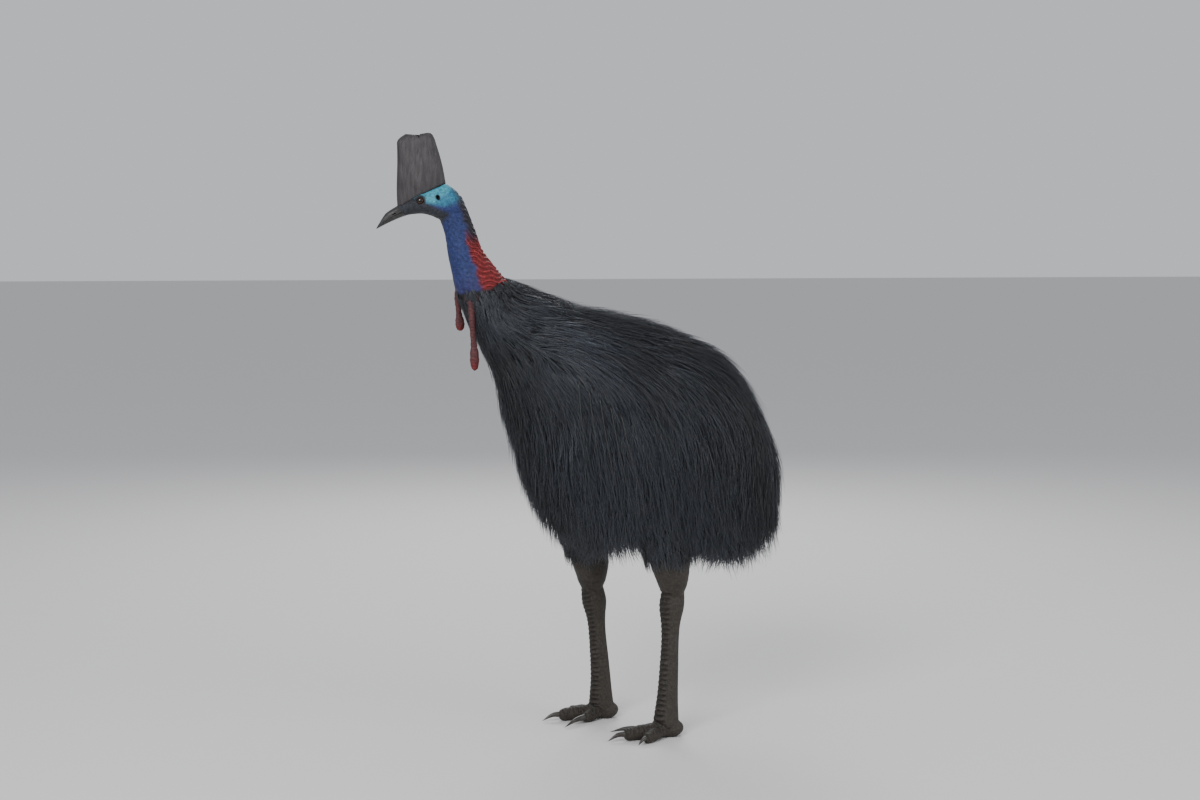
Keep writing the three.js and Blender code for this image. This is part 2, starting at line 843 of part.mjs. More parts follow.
// Short locks hang round each thigh below the hem
function thighLock(leg, turn, extra = 0) {
  const curve = curveThrough(leg.thigh);
  const frames = [];
  for (let k = 0; k <= LOCK_STEPS; k += 1) {
    const share = k / LOCK_STEPS;
    const t = THIGH_LOCK.from + (THIGH_LOCK.to - THIGH_LOCK.from) * share;
    const along = curve.getTangent(t);
    const across = new THREE.Vector3(0, 1, 0);
    const fore = new THREE.Vector3().crossVectors(along, across).normalize();
    const up = across.multiplyScalar(Math.cos(turn)).addScaledVector(fore, Math.sin(turn));
    const height = between(THIGH_RADIUS, t) - THIGH_LOCK.sunk + THIGH_LOCK.lift * share;
    const at = curve.getPoint(t).addScaledVector(up, height);
    frames.push({ at, side: new THREE.Vector3().crossVectors(up, along).normalize(), up });
  }
  return lockAlong(frames, THIGH_LOCK.half, THIGH_LOCK.ridge, extra);
}

// Putting the bird together
const bird = new THREE.Group();

function pieceOf(name, shape, skin) {
  const { vertProperties, triVerts, numProp } = shape.getMesh();
  const geometry = new THREE.BufferGeometry();
  const positions = new Float32Array((vertProperties.length / numProp) * 3);
  for (let i = 0; i < positions.length / 3; i += 1) {
    for (let k = 0; k < 3; k += 1) positions[i * 3 + k] = vertProperties[i * numProp + k];
  }
  geometry.setAttribute("position", new THREE.BufferAttribute(positions, 3));
  geometry.setIndex(new THREE.BufferAttribute(new Uint32Array(triVerts), 1));
  geometry.computeVertexNormals();
  const mesh = new THREE.Mesh(geometry, new THREE.MeshStandardMaterial(SKINS[skin]));
  mesh.name = name;
  bird.add(mesh);
  return mesh;
}

// The skull with its lids and the rims of its ears, hollowed for the eyes and the ears
const lidAt = { x: EYE.x, y: EYE.y + 5.5, z: EYE.z + 1.5 };
const lids = [1, -1].map((side) => rim(lidAt, EYE_RADIUS - 0.8, 2.4, 0.86, side));
const earRims = [1, -1].map((side) => rim(EAR, 6.5, 2.6, 1.45, side));
let head = joined([wholeHead(), ...lids, ...earRims]);
for (const side of [1, -1]) {
  const earHole = ball([5.2, 13, 9], [EAR.x, side * (EAR.y + 3), EAR.z], new THREE.Euler(), 8);
  head = head.subtract(eyeBall(side, FACE_GAP)).subtract(solid(earHole));
}

// The bill is parted from the face, and then along the mouth's line, which runs on into the cheek
const billPlane = { point: [BILL_ROOT, 0, 0], normal: [1, 0, -0.25] };
const mouthPoints = MOUTH_LINE.map(([x, z]) => new THREE.Vector3(x, 0, z));
const flatSweep = (points, breadth, height) =>
  sweep(new THREE.CatmullRomCurve3(points, false, "centripetal"), 4, 10, (t, angle) => [
    breadth * Math.SQRT2 * Math.cos(angle + Math.PI / 4),
    height * Math.SQRT2 * Math.sin(angle + Math.PI / 4),
  ]);
const mouthSlit = flatSweep(mouthPoints, 60, 0.35);
const underMouth = flatSweep(mouthPoints.map((p) => p.clone().setZ(p.z - 30)), 60, 30);
const cheekGroove = mouthSlit.subtract(wholeHead(-2.2));
const beyondFace = beyond(billPlane.point, billPlane.normal);
const bill = head.intersect(beyondFace).subtract(slab(billPlane.point, billPlane.normal));
let billUpper = bill.subtract(underMouth).subtract(mouthSlit).subtract(casqueShape(FACE_GAP));
const billLower = bill.intersect(underMouth).subtract(mouthSlit);
for (const side of [1, -1]) {
  const nostril = ball([6, 4, 2], [136, side * 9.5, 44.5], new THREE.Euler(0, 0.15, 0), 10);
  billUpper = billUpper.subtract(solid(nostril));
}
head = head
  .subtract(beyondFace)
  .subtract(cheekGroove)
  .subtract(casqueShape(FACE_GAP));

// The neck is parted from the head, in its middle and at its root
const neck = neckSkin();
const gapUnder = ({ point, normal }) => slab(point, normal.map((v) => -v));
const aboveTop = beyond(NECK_TOP.point, NECK_TOP.normal);
const aboveMiddle = beyond(NECK_MIDDLE.point, NECK_MIDDLE.normal);
const aboveRoot = beyond(NECK_ROOT.point, NECK_ROOT.normal);
const throat = neck.intersect(aboveTop);
pieceOf("head", largest(onNeck(head).intersect(aboveTop).add(throat)), "blue");
pieceOf("casque", onNeck(casqueShape()), "casque");
pieceOf("bill_upper", largest(onNeck(billUpper)), "bill");
pieceOf("bill_lower", largest(onNeck(billLower)), "bill");
pieceOf("eye_left", onNeck(eyeBall(1)), "eye");
pieceOf("eye_right", onNeck(eyeBall(-1)), "eye");

const belowTop = neck.subtract(aboveTop).subtract(gapUnder(NECK_TOP));
const neckUpper = belowTop.intersect(aboveMiddle);
const neckLower = belowTop.subtract(aboveMiddle).subtract(gapUnder(NECK_MIDDLE)).intersect(aboveRoot);
const neckStump = neck.subtract(aboveRoot).subtract(gapUnder(NECK_ROOT));
pieceOf("neck_upper", largest(neckUpper), "blue");
pieceOf("neck_lower", largest(neckLower), "red");

const neckRoom = neckSkin(FACE_GAP);
for (const [side, points] of Object.entries(WATTLES)) {
  pieceOf("wattle_" + side, largest(wattleShape(points).subtract(neckRoom)), "wattle");
}

// The torso and the tail carry their own locks, and give way to the legs and wings
const draw = seeded(41);
const coats = { torso: [], tail: [] };
const TAIL_FROM = 265;
const FIRST_TIER = -428;
const LAST_TIER = 420;
const UNDERSIDE = -0.42;
let tier = 0;
for (let along = FIRST_TIER; along < LAST_TIER; along += TIER_STEP) {
  tier += 1;
  for (const root of tierRoots(along, (tier % 2) / 2)) {
    const turn = (draw() - 0.5) * 0.2;
    const long = LOCK_LENGTH * (0.85 + 0.3 * draw());
    const lift = COAT_DEPTH * (0.75 + 0.3 * draw());
    // No lock grows under the belly, nor across the joint between the torso and the tail
    if (outward(root).z < UNDERSIDE || Math.abs(root.x - TAIL_FROM) < LOCK_SUNK) continue;
    const wearer = root.x > TAIL_FROM ? "tail" : "torso";
    coats[wearer].push({ root, turn, long, lift });
  }
}
// The same locks in their own size, or grown by the gap to make room in a neighbour
const grownCoat = (wearer, extra) => coats[wearer].map((lock) => lockShape(lock, extra));

const core = bodyCore();
const behindTail = beyond([TAIL_FROM, 0, 0], [1, 0, 0]);
const tailCore = core.intersect(behindTail).subtract(slab([TAIL_FROM, 0, 0], [1, 0, 0]));
const torsoCore = core.subtract(behindTail).add(neckStump);

let torso = joined([torsoCore, ...grownCoat("torso", 0)]);
const torsoRoom = bodyCore(FACE_GAP).subtract(beyond([TAIL_FROM + FACE_GAP, 0, 0], [1, 0, 0]));
const tail = joined([tailCore, ...grownCoat("tail", 0)]).subtract(
  joined([torsoRoom, ...grownCoat("torso", FACE_GAP)]),
);
torso = torso.subtract(core.intersect(behindTail));

for (const [name, leg] of Object.entries(LEGS)) {
  const shank = tarsusSkin(leg);
  const shankRoom = roomAround(tarsusSkin(leg, FACE_GAP));
  const place = footPlace(leg).elements;
  const foot = footShape(leg).transform(place).intersect(aboveFloor).subtract(shankRoom);
  const footRoom = footShape(leg, FACE_GAP).transform(place);
  const thigh = (extra) =>
    joined([
      thighSkin(leg, 2 * extra),
      ...Array.from({ length: THIGH_LOCK.count }, (_, i) =>
        thighLock(leg, ((i + 0.5) / THIGH_LOCK.count) * 2 * Math.PI, extra),
      ),
    ]);
  torso = torso.subtract(roomAround(thigh(FACE_GAP)));
  pieceOf("thigh_" + name, largest(thigh(0).subtract(shankRoom)), "plumage");
  pieceOf("tarsus_" + name, largest(shank), "scales");
  pieceOf("foot_" + name, largest(foot), "scales");
  for (const [which, toe] of Object.entries(TOES)) {
    const claw = clawShape(toe, leg.outward * -toe.turn * DEG).transform(place).subtract(footRoom);
    pieceOf("claw_" + which + "_" + name, largest(claw.intersect(aboveFloor)), "claw");
  }
}

torso = torso.subtract(neckRoom.intersect(aboveRoot));

for (const [name, side] of [["left", -1], ["right", 1]]) {
  const wing = (extra) =>
    joined([
      wingArm(side, extra),
      ...WING.locks.map(([x, z]) =>
        lockShape({ root: overFlank(x, z, side, 0), turn: 0, ...WING.lock }, extra),
      ),
      ...Array.from({ length: QUILLS }, (_, i) => quill(side, i, extra)),
    ]);
  torso = torso.subtract(wing(FACE_GAP));
  pieceOf("wing_" + name, largest(wing(0)), "quill");
}
pieceOf("torso", largest(torso), "plumage");
pieceOf("tail", largest(tail), "plumage");

// The origin comes under the middle of the whole figure
const box = new THREE.Box3().setFromObject(bird);
bird.position.set(-(box.min.x + box.max.x) / 2, -(box.min.y + box.max.y) / 2, 0);

export default bird;
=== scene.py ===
"""The looks of a still, life-size southern cassowary that stands on a plain floor."""

import math

import bmesh
import bpy
import numpy as np
from mathutils import Matrix, Vector


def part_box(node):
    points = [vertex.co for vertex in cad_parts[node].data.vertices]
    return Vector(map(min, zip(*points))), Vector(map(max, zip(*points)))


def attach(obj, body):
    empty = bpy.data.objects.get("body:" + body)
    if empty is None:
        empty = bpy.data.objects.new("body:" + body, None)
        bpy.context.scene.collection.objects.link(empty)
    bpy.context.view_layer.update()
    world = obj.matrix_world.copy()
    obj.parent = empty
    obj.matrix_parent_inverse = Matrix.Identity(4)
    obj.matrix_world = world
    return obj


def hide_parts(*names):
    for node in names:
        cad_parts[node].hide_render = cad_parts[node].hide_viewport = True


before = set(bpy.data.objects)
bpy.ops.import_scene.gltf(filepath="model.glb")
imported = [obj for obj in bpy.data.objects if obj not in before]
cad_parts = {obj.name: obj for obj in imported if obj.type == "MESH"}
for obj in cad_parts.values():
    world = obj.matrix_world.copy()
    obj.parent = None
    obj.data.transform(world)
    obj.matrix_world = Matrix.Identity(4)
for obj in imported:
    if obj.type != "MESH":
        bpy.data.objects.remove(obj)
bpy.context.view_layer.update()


# Floor, light and camera
# A pale plain floor under a pale, even sky, three large soft lamps, and the camera where the photograph
# was taken, at head height. Places in this file are measured from under the middle of the bird's body:
# BIRD_AT is that place in the frame.
BILL_TIP_X = -0.6749
BIRD_AT = Vector((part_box("bill_upper")[0].x - BILL_TIP_X, 0, 0))
CAMERA_AT = Vector((-1.602, -4.110, 1.232))
CAMERA_TURN = math.radians(-20)
CAMERA_DIP = math.radians(4.708)
FLOOR_SIZE = 200
FLOOR_COLOUR = (0.62, 0.61, 0.60, 1)
SKY_COLOUR = (0.86, 0.89, 0.94, 1)
SKY_STRENGTH = 0.70
LAMPS_AIM = Vector((0, 0, 0.8))
LAMPS = (
    ("Key lamp", (-3.4, -3.6, 3.8), 2.6, 260),
    ("Fill lamp", (3.2, -3.4, 2.2), 3.0, 90),
    ("Back lamp", (1.2, 3.8, 3.6), 2.6, 130),
)

world = bpy.data.worlds.new("Soft sky")
bpy.context.scene.world = world
world.use_nodes = True
sky = world.node_tree.nodes["Background"]
sky.inputs["Color"].default_value = SKY_COLOUR
sky.inputs["Strength"].default_value = SKY_STRENGTH

floor_shape = bmesh.new()
bmesh.ops.create_grid(floor_shape, x_segments=1, y_segments=1, size=FLOOR_SIZE / 2)
floor_mesh = bpy.data.meshes.new("Floor")
floor_shape.to_mesh(floor_mesh)
floor_shape.free()
floor = bpy.data.objects.new("Floor", floor_mesh)
bpy.context.collection.objects.link(floor)
floor_paint = bpy.data.materials.new("Pale floor")
floor_paint.use_nodes = True
floor_shader = floor_paint.node_tree.nodes["Principled BSDF"]
floor_shader.inputs["Base Color"].default_value = FLOOR_COLOUR
floor_shader.inputs["Roughness"].default_value = 0.9
floor.data.materials.append(floor_paint)

for lamp_name, lamp_at, lamp_size, lamp_watts in LAMPS:
    lamp_data = bpy.data.lights.new(lamp_name, "AREA")
    lamp_data.size = lamp_size
    lamp_data.energy = lamp_watts
    lamp = bpy.data.objects.new(lamp_name, lamp_data)
    lamp.location = BIRD_AT + Vector(lamp_at)
    lamp.rotation_euler = (BIRD_AT + LAMPS_AIM - lamp.location).to_track_quat("-Z", "Y").to_euler()
    bpy.context.collection.objects.link(lamp)

camera_data = bpy.data.cameras.new("Camera")
camera_data.sensor_width = 36
camera_data.lens = 51
camera = bpy.data.objects.new("Camera", camera_data)
camera.location = BIRD_AT + CAMERA_AT
camera.rotation_euler = (math.pi / 2 - CAMERA_DIP, 0, CAMERA_TURN)
bpy.context.collection.objects.link(camera)
bpy.context.scene.camera = camera


# Body skin
# The trunk under the coat: a deep egg, flat at the flanks, drawn from its outline in side view.
# It is a ball whose points are moved out to that outline, less the depth of the coat that covers it.
BODY_MIDDLE = np.array([0, 0, 0.800])
BODY_HALF_WIDTH = 0.250
BODY_FULLNESS = 2.35
BODY_START = 0.2
NECK_ANGLE = math.radians(142)
NECKWARD_NARROWING = 0.3
COAT_DEPTH = 0.034
HEM_DEPTH = 0.105
COAT_OUTLINE = (
    (-0.232, 0.535), (-0.315, 0.672), (-0.352, 0.780), (-0.385, 0.897), (-0.424, 1.035),
    (-0.434, 1.087), (-0.366, 1.178), (-0.279, 1.162), (-0.160, 1.122), (-0.040, 1.101),
    (0.110, 1.052), (0.230, 0.992), (0.306, 0.895), (0.360, 0.783), (0.395, 0.660),
    (0.385, 0.540), (0.330, 0.462), (0.130, 0.452), (-0.100, 0.465),
)


def between(places, values, at):
    """The values at some places of a smooth line through the given ones."""
    places = np.asarray(places, float)
    values = np.asarray(values, float)
    at = np.clip(at, places[0], places[-1])
    slopes = np.gradient(values, places, axis=0)
    i = np.clip(np.searchsorted(places, at, side="right") - 1, 0, len(places) - 2)
    gap = places[i + 1] - places[i]
    s = (at - places[i]) / gap
    if values.ndim > 1:
        s = s[:, None]
        gap = gap[:, None]
    start = values[i] * (1 + 2 * s) + slopes[i] * gap * s
    end = values[i + 1] * (3 - 2 * s) + slopes[i + 1] * gap * (s - 1)
    return start * (1 - s) ** 2 + end * s**2


def curve(points, count):
    """Points at equal steps along a smooth line through the given ones."""
    points = np.asarray(points, float)
    places = np.concatenate([[0], np.cumsum(np.linalg.norm(np.diff(points, axis=0), axis=1))])
    return between(places, points, np.linspace(0, places[-1], count))


def smoothstep(low, high, value):
    """0 up to low, 1 from high on, with a soft step between. High may be the lesser of the two."""
    share = np.clip((value - low) / (high - low), 0, 1)
    return share * share * (3 - 2 * share)


outline = curve([*COAT_OUTLINE, COAT_OUTLINE[0]], 720)
outline_angle = np.arctan2(outline[:, 1] - BODY_MIDDLE[2], outline[:, 0])
outline_reach = np.hypot(outline[:, 0], outline[:, 1] - BODY_MIDDLE[2])
outline_order = np.argsort(outline_angle)


def skin_reach(angle):
    """How far the skin is from the body's middle in side view, at an angle."""
    coat_reach = np.interp(
        angle, outline_angle[outline_order], outline_reach[outline_order], period=2 * np.pi
    )
    under = smoothstep(0.35, 0.95, -np.sin(angle))
    return coat_reach - COAT_DEPTH - (HEM_DEPTH - COAT_DEPTH) * under


def skin_half_width(angle, share):
    """Half the width at an angle, narrower towards the neck."""
    neckward = np.maximum(0, np.cos(angle - NECK_ANGLE)) ** 2
    return (BODY_HALF_WIDTH - COAT_DEPTH) * (1 - NECKWARD_NARROWING * share * neckward)


def body_level(points):
    """1 on the body's skin, less inside it and more outside."""
    angle = np.arctan2(points[:, 2] - BODY_MIDDLE[2], points[:, 0])
    share = np.hypot(points[:, 0], points[:, 2] - BODY_MIDDLE[2]) / skin_reach(angle)
    width = skin_half_width(angle, np.minimum(share, 1))
    return (share**BODY_FULLNESS + (np.abs(points[:, 1]) / width) ** BODY_FULLNESS) ** (1 / BODY_FULLNESS)


def onto_body(points):
    """The points moved straight from the body's middle onto its skin."""
    for _ in range(3):
        points = BODY_MIDDLE + (points - BODY_MIDDLE) / body_level(points)[:, None]
    return points


skin_shape = bmesh.new()
body_ball = bmesh.ops.create_uvsphere(skin_shape, u_segments=72, v_segments=48, radius=BODY_START)["verts"]
bmesh.ops.rotate(skin_shape, verts=body_ball, matrix=Matrix.Rotation(math.pi / 2, 3, "X"))
for vert, place in zip(body_ball, onto_body(np.array([v.co for v in body_ball]) + BODY_MIDDLE)):
    vert.co = place


# Neck and flesh of the head
# Bare, loose skin over a slender neck, and over the skull from the nape to the bill's root.
# Each is a row of rings bridged together. Eyes and ears are hollowed out, and lids stand round each eye.
NECK_PATH = (
    (-0.345, 0, 1.075), (-0.400, 0, 1.133), (-0.430, 0, 1.172), (-0.450, 0, 1.212),
    (-0.466, 0, 1.252), (-0.477, 0, 1.300), (-0.492, 0, 1.342), (-0.507, 0, 1.378),
)
NECK_PLACES = (0, 0.12, 0.24, 0.4, 0.52, 0.64, 0.78, 1)
NECK_HALF_DEPTH = (0.062, 0.063, 0.061, 0.058, 0.048, 0.041, 0.037, 0.036)
NECK_HALF_WIDTH = (0.058, 0.057, 0.056, 0.049, 0.040, 0.036, 0.033, 0.031)
HEAD_PLACE = (
    Matrix.Translation((-0.510, 0, 1.362))
    @ Matrix.Rotation(math.radians(160), 4, "Z")
    @ Matrix.Rotation(math.radians(27), 4, "Y")
)
HEAD_TOP = (
    (-0.041, 0.022), (-0.032, 0.044), (-0.008, 0.055), (0.030, 0.060), (0.080, 0.060), (0.112, 0.058),
    (0.127, 0.057), (0.142, 0.0545), (0.155, 0.0485), (0.165, 0.0425), (0.174, 0.037), (0.180, 0.033),
)
HEAD_UNDER = (
    (-0.041, 0.008), (-0.032, -0.024), (-0.008, -0.034), (0.012, -0.031), (0.028, -0.020), (0.040, -0.005),
    (0.056, 0.010), (0.080, 0.022), (0.105, 0.0285), (0.135, 0.0315), (0.165, 0.032), (0.180, 0.0318),
)
HEAD_HALF_WIDTH = (
    (-0.041, 0.007), (-0.032, 0.026), (-0.008, 0.034), (0.028, 0.036), (0.056, 0.033), (0.084, 0.023),
    (0.110, 0.014), (0.140, 0.0095), (0.165, 0.006), (0.180, 0.0012),
)
HEAD_SQUARENESS = 2.2
FLESH_END = 0.112
EYE_AT = Vector((0.049, 0.022, 0.0415))
EYE_RADIUS = 0.0113
LID_RADIUS = 0.0136
EYE_OPENING = (0.0088, 0.0068)
EAR_AT = Vector((0.006, 0.034, 0.029))
EAR_HOLE = (0.0036, 0.012, 0.0062)
EAR_RIM = (0.0095, 0.0052, 0.0125)
BROW_RISE = 0.0105
BROW = (0.0165, 0.0095, 0.0040)
SIDEWAYS = np.array([0, 1, 0])


def loft(shape, rings):
    """A closed skin over rings of points, flat at both ends."""
    loops = []
    for ring in rings:
        verts = [shape.verts.new(point) for point in ring]
        loops.append([shape.edges.new(pair) for pair in zip(verts, verts[1:] + verts[:1])])
    for first, second in zip(loops, loops[1:]):
        bmesh.ops.bridge_loops(shape, edges=first + second)
    for end in (loops[0], loops[-1]):
        bmesh.ops.contextual_create(shape, geom=end)


def around(path, sideways, half_depth, half_width, sides=32):
    """Oval rings round a path. Their width lies along the sideways direction."""
    tangent = np.gradient(path, axis=0)
    tangent /= np.linalg.norm(tangent, axis=1)[:, None]
    width_way = sideways - tangent * (tangent @ sideways)[:, None]
    width_way /= np.linalg.norm(width_way, axis=1)[:, None]
    depth_way = np.cross(tangent, width_way)
    turn = np.linspace(0, 2 * np.pi, sides, endpoint=False)
    half_depth = np.broadcast_to(half_depth, len(path))
    half_width = np.broadcast_to(half_width, len(path))
    wide = np.cos(turn)[None, :, None] * (width_way * half_width[:, None])[:, None, :]
    deep = np.sin(turn)[None, :, None] * (depth_way * half_depth[:, None])[:, None, :]
    return path[:, None, :] + wide + deep


neck_path = curve(NECK_PATH, 30)
neck_share = np.linspace(0, 1, 30)
loft(
    skin_shape,
    around(
        neck_path,
        SIDEWAYS,
        between(NECK_PLACES, NECK_HALF_DEPTH, neck_share),
        between(NECK_PLACES, NECK_HALF_WIDTH, neck_share),
    ),
)


def profile(stations, at):
    """Values of a smooth line through stations, which are pairs of a place and a value."""
    places, values = zip(*stations)
    return between(places, values, at)


def head_ring(x, grown=0.0, sides=40):
    """A section of the head or the bill, square to its length. It leans forward at the bill's root."""
    turn = np.linspace(0, 2 * np.pi, sides, endpoint=False)
    top = profile(HEAD_TOP, x) + grown
    under = profile(HEAD_UNDER, x) - grown
    wide = profile(HEAD_HALF_WIDTH, x) + grown
    power = 2 / HEAD_SQUARENESS
    across = np.sign(np.cos(turn)) * np.abs(np.cos(turn)) ** power
    upward = np.sign(np.sin(turn)) * np.abs(np.sin(turn)) ** power
    height = (top + under) / 2 + (top - under) / 2 * upward
    lean = (height - 0.04) * 0.25 * smoothstep(0.08, 0.104, x) * smoothstep(0.16, 0.12, x)
    return np.stack([x + lean, wide * across, height], axis=1)


head_shape = bmesh.new()
loft(head_shape, [head_ring(x) for x in np.linspace(HEAD_TOP[0][0], FLESH_END, 26)])


def add_ball(shape, at, radii):
    """An oval ball at a place."""
    verts = bmesh.ops.create_uvsphere(shape, u_segments=32, v_segments=20, radius=1)["verts"]
    bmesh.ops.scale(shape, vec=Vector(radii), verts=verts)
    bmesh.ops.translate(shape, vec=Vector(at), verts=verts)
    return verts


def mesh_object(name, shape):
    """A new object with the shape's mesh, which has its faces turned outwards."""
    bmesh.ops.recalc_face_normals(shape, faces=shape.faces)
    if shape.calc_volume(signed=True) < 0:
        bmesh.ops.reverse_faces(shape, faces=shape.faces)
    mesh = bpy.data.meshes.new(name)
    shape.to_mesh(mesh)
    shape.free()
    piece = bpy.data.objects.new(name, mesh)
    bpy.context.collection.objects.link(piece)
    return piece


def settled(piece):
    """The piece's mesh with its modifiers applied, and the piece itself removed."""
    depsgraph = bpy.context.evaluated_depsgraph_get()
    mesh = bpy.data.meshes.new_from_object(piece.evaluated_get(depsgraph))
    bpy.data.objects.remove(piece)
    return mesh


# Brows and lids are laid on the skull before the hollows are cut
for side in (-1, 1):
    eye_at = Vector((EYE_AT.x, side * EYE_AT.y, EYE_AT.z))
    add_ball(head_shape, eye_at, (LID_RADIUS,) * 3)
    add_ball(head_shape, eye_at + Vector((0.001, side * 0.003, BROW_RISE)), BROW)
    ear_at = Vector((EAR_AT.x, side * (EAR_AT.y - 0.0035), EAR_AT.z))
    add_ball(head_shape, ear_at, EAR_RIM)
head_piece = mesh_object("Head flesh", head_shape)

hollow_shape = bmesh.new()
for side in (-1, 1):
    eye_at = Vector((EYE_AT.x, side * EYE_AT.y, EYE_AT.z))
    add_ball(hollow_shape, eye_at, (EYE_RADIUS + 0.0002,) * 3)
    add_ball(
        hollow_shape,
        eye_at + Vector((0, side * 0.015, -0.0008)),
        (EYE_OPENING[0] * 1.12, 0.013, EYE_OPENING[1] * 1.12),
    )
    add_ball(hollow_shape, Vector((EAR_AT.x, side * (EAR_AT.y + 0.002), EAR_AT.z)), EAR_HOLE)
hollow_piece = mesh_object("Hollows", hollow_shape)
cut = head_piece.modifiers.new("Hollows", "BOOLEAN")
cut.object = hollow_piece
cut.operation = "DIFFERENCE"
cut.solver = "EXACT"
cut.use_self = True
head_mesh = settled(head_piece)
bpy.data.objects.remove(hollow_piece)
head_mesh.transform(HEAD_PLACE)
skin_shape.from_mesh(head_mesh)


# Wattles
# Two straps of loose, folded skin that hang from the front of the neck, each with a bulb at its end.
# They grow out of the neck's skin. The left one is the longer.
WATTLES = (
    ((-0.452, -0.026, 1.150), (-0.457, -0.034, 1.110), (-0.456, -0.036, 1.060), (-0.452, -0.037, 1.005),
     (-0.451, -0.037, 0.957)),
    ((-0.470, 0.018, 1.175), (-0.477, 0.025, 1.140), (-0.474, 0.027, 1.105), (-0.471, 0.027, 1.075),
     (-0.470, 0.027, 1.054)),
)
WATTLE_PLACES = (0, 0.2, 0.45, 0.65, 0.85, 0.97, 1)
WATTLE_BREADTH = (0.013, 0.010, 0.008, 0.0085, 0.0125, 0.008, 0.003)
for points in WATTLES:
    wattle_share = np.linspace(0, 1, 44)
    breadth = between(WATTLE_PLACES, WATTLE_BREADTH, wattle_share)
    breadth = breadth * (1 + 0.07 * np.sin(wattle_share * 60) + 0.05 * np.sin(wattle_share * 97))
    loft(skin_shape, around(curve(points, 44), np.array([1, 0.3, 0]), breadth * 0.72, breadth, 16))


# Wing arms
# A small, flat arm under the coat of each flank. It carries the bare quills.
WING_ARM = ((-0.285, 0.985), (-0.230, 0.960), (-0.165, 0.905), (-0.120, 0.850))
WING_HALF_BREADTH = 0.034
WING_HALF_THICKNESS = 0.013
for side in (-1, 1):
    arm = onto_body(np.array([(x, side * 0.2, z) for x, z in WING_ARM]))
    arm_share = np.linspace(-1, 1, 16)
    arm_ends = np.sqrt(1 - np.abs(arm_share) ** 4 * 0.97)
    loft(
        skin_shape,
        around(
            curve(arm, 16),
            np.array([0.6, 0, 0.8]),
            WING_HALF_THICKNESS * arm_ends,
            WING_HALF_BREADTH * arm_ends,
            16,
        ),
    )


# Legs and feet
# Strong thighs, a thin scaly shank and three heavy toes on each foot. The inner toe has the long claw.
# They are rings round the line of the bones, and balls for the ankle and the heel.
LEGS = {
    "left": {
        "foot": (0.038, -0.105),
        "toe_turn": 182,
        "outward": -1,
        "thigh": (
            (-0.030, -0.128, 0.650), (0, -0.126, 0.590), (0.034, -0.116, 0.500), (0.052, -0.108, 0.425),
            (0.057, -0.105, 0.362),
        ),
        "shank": (
            (0.057, -0.105, 0.385), (0.052, -0.105, 0.330), (0.048, -0.105, 0.230),
            (0.043, -0.105, 0.120), (0.038, -0.105, 0.040),
        ),
    },
    "right": {
        "foot": (-0.058, 0.122),
        "toe_turn": 176,
        "outward": 1,
        "thigh": (
            (-0.140, 0.130, 0.640), (-0.120, 0.130, 0.580), (-0.098, 0.126, 0.490), (-0.086, 0.122, 0.405),
            (-0.084, 0.122, 0.345),
        ),
        "shank": (
            (-0.084, 0.122, 0.360), (-0.076, 0.122, 0.310), (-0.068, 0.122, 0.220),
            (-0.060, 0.122, 0.120), (-0.058, 0.122, 0.040),
        ),
    },
}
THIGH_PLACES = (0, 0.3, 0.55, 0.8, 0.93, 1)
THIGH_RADIUS = (0.064, 0.066, 0.058, 0.046, 0.033, 0.020)
SHANK_PLACES = (0, 0.12, 0.25, 0.6, 0.85, 1)
SHANK_HALF_DEPTH = (0.030, 0.033, 0.026, 0.025, 0.029, 0.034)
SHANK_HALF_WIDTH = (0.024, 0.027, 0.020, 0.020, 0.023, 0.027)
TOES = {
    "middle": {"turn": 0, "length": 0.118, "radius": 0.019},
    "outer": {"turn": 31, "length": 0.092, "radius": 0.0165},
    "inner": {"turn": -33, "length": 0.070, "radius": 0.0165},
}
TOE_PLACES = (0, 0.25, 0.4, 0.62, 0.78, 0.92, 1)
TOE_TAPER = (1.05, 1.0, 0.9, 1.02, 0.86, 0.84, 0.5)
SOLE_CUT = 0.0025
HEEL_SET_BACK = 0.014
HEEL = (0.034, 0.027, 0.0235)
ANKLE = (0.033, 0.027, 0.036)


def toe_way(leg, toe):
    """The direction of a toe."""
    turn = math.radians(leg["toe_turn"]) - leg["outward"] * math.radians(toe["turn"])
    return np.array([math.cos(turn), math.sin(turn), 0])


toe_lines = []
for leg in LEGS.values():
    thigh_share = np.linspace(0, 1, 20)
    thigh_radius = between(THIGH_PLACES, THIGH_RADIUS, thigh_share)
    forward = np.array([1, 0, 0])
    loft(skin_shape, around(curve(leg["thigh"], 20), forward, thigh_radius, thigh_radius * 0.97))
    shank_share = np.linspace(0, 1, 40)
    half_depth = between(SHANK_PLACES, SHANK_HALF_DEPTH, shank_share)
    half_width = between(SHANK_PLACES, SHANK_HALF_WIDTH, shank_share)
    loft(skin_shape, around(curve(leg["shank"], 40), SIDEWAYS, half_depth, half_width))
    foot = np.array([*leg["foot"], 0])
    add_ball(skin_shape, foot - HEEL_SET_BACK * toe_way(leg, TOES["middle"]) + (0, 0, 0.0215), HEEL)
    add_ball(skin_shape, foot + (0, 0, 0.040), ANKLE)
    for toe in TOES.values():
        way = toe_way(leg, toe)
        height = toe["radius"] - SOLE_CUT
        toe_line = curve(
            [
                foot + (0, 0, height + 0.008),
                foot + way * toe["length"] * 0.5 + (0, 0, height + 0.003),
                foot + way * toe["length"] + (0, 0, height - 0.001),
            ],
            26,
        )
        toe_radius = toe["radius"] * between(TOE_PLACES, TOE_TAPER, np.linspace(0, 1, 26))
        loft(skin_shape, around(toe_line, np.cross((0, 0, 1), way), toe_radius, toe_radius * 0.95, 24))
        toe_lines.append((toe_line, toe["radius"]))


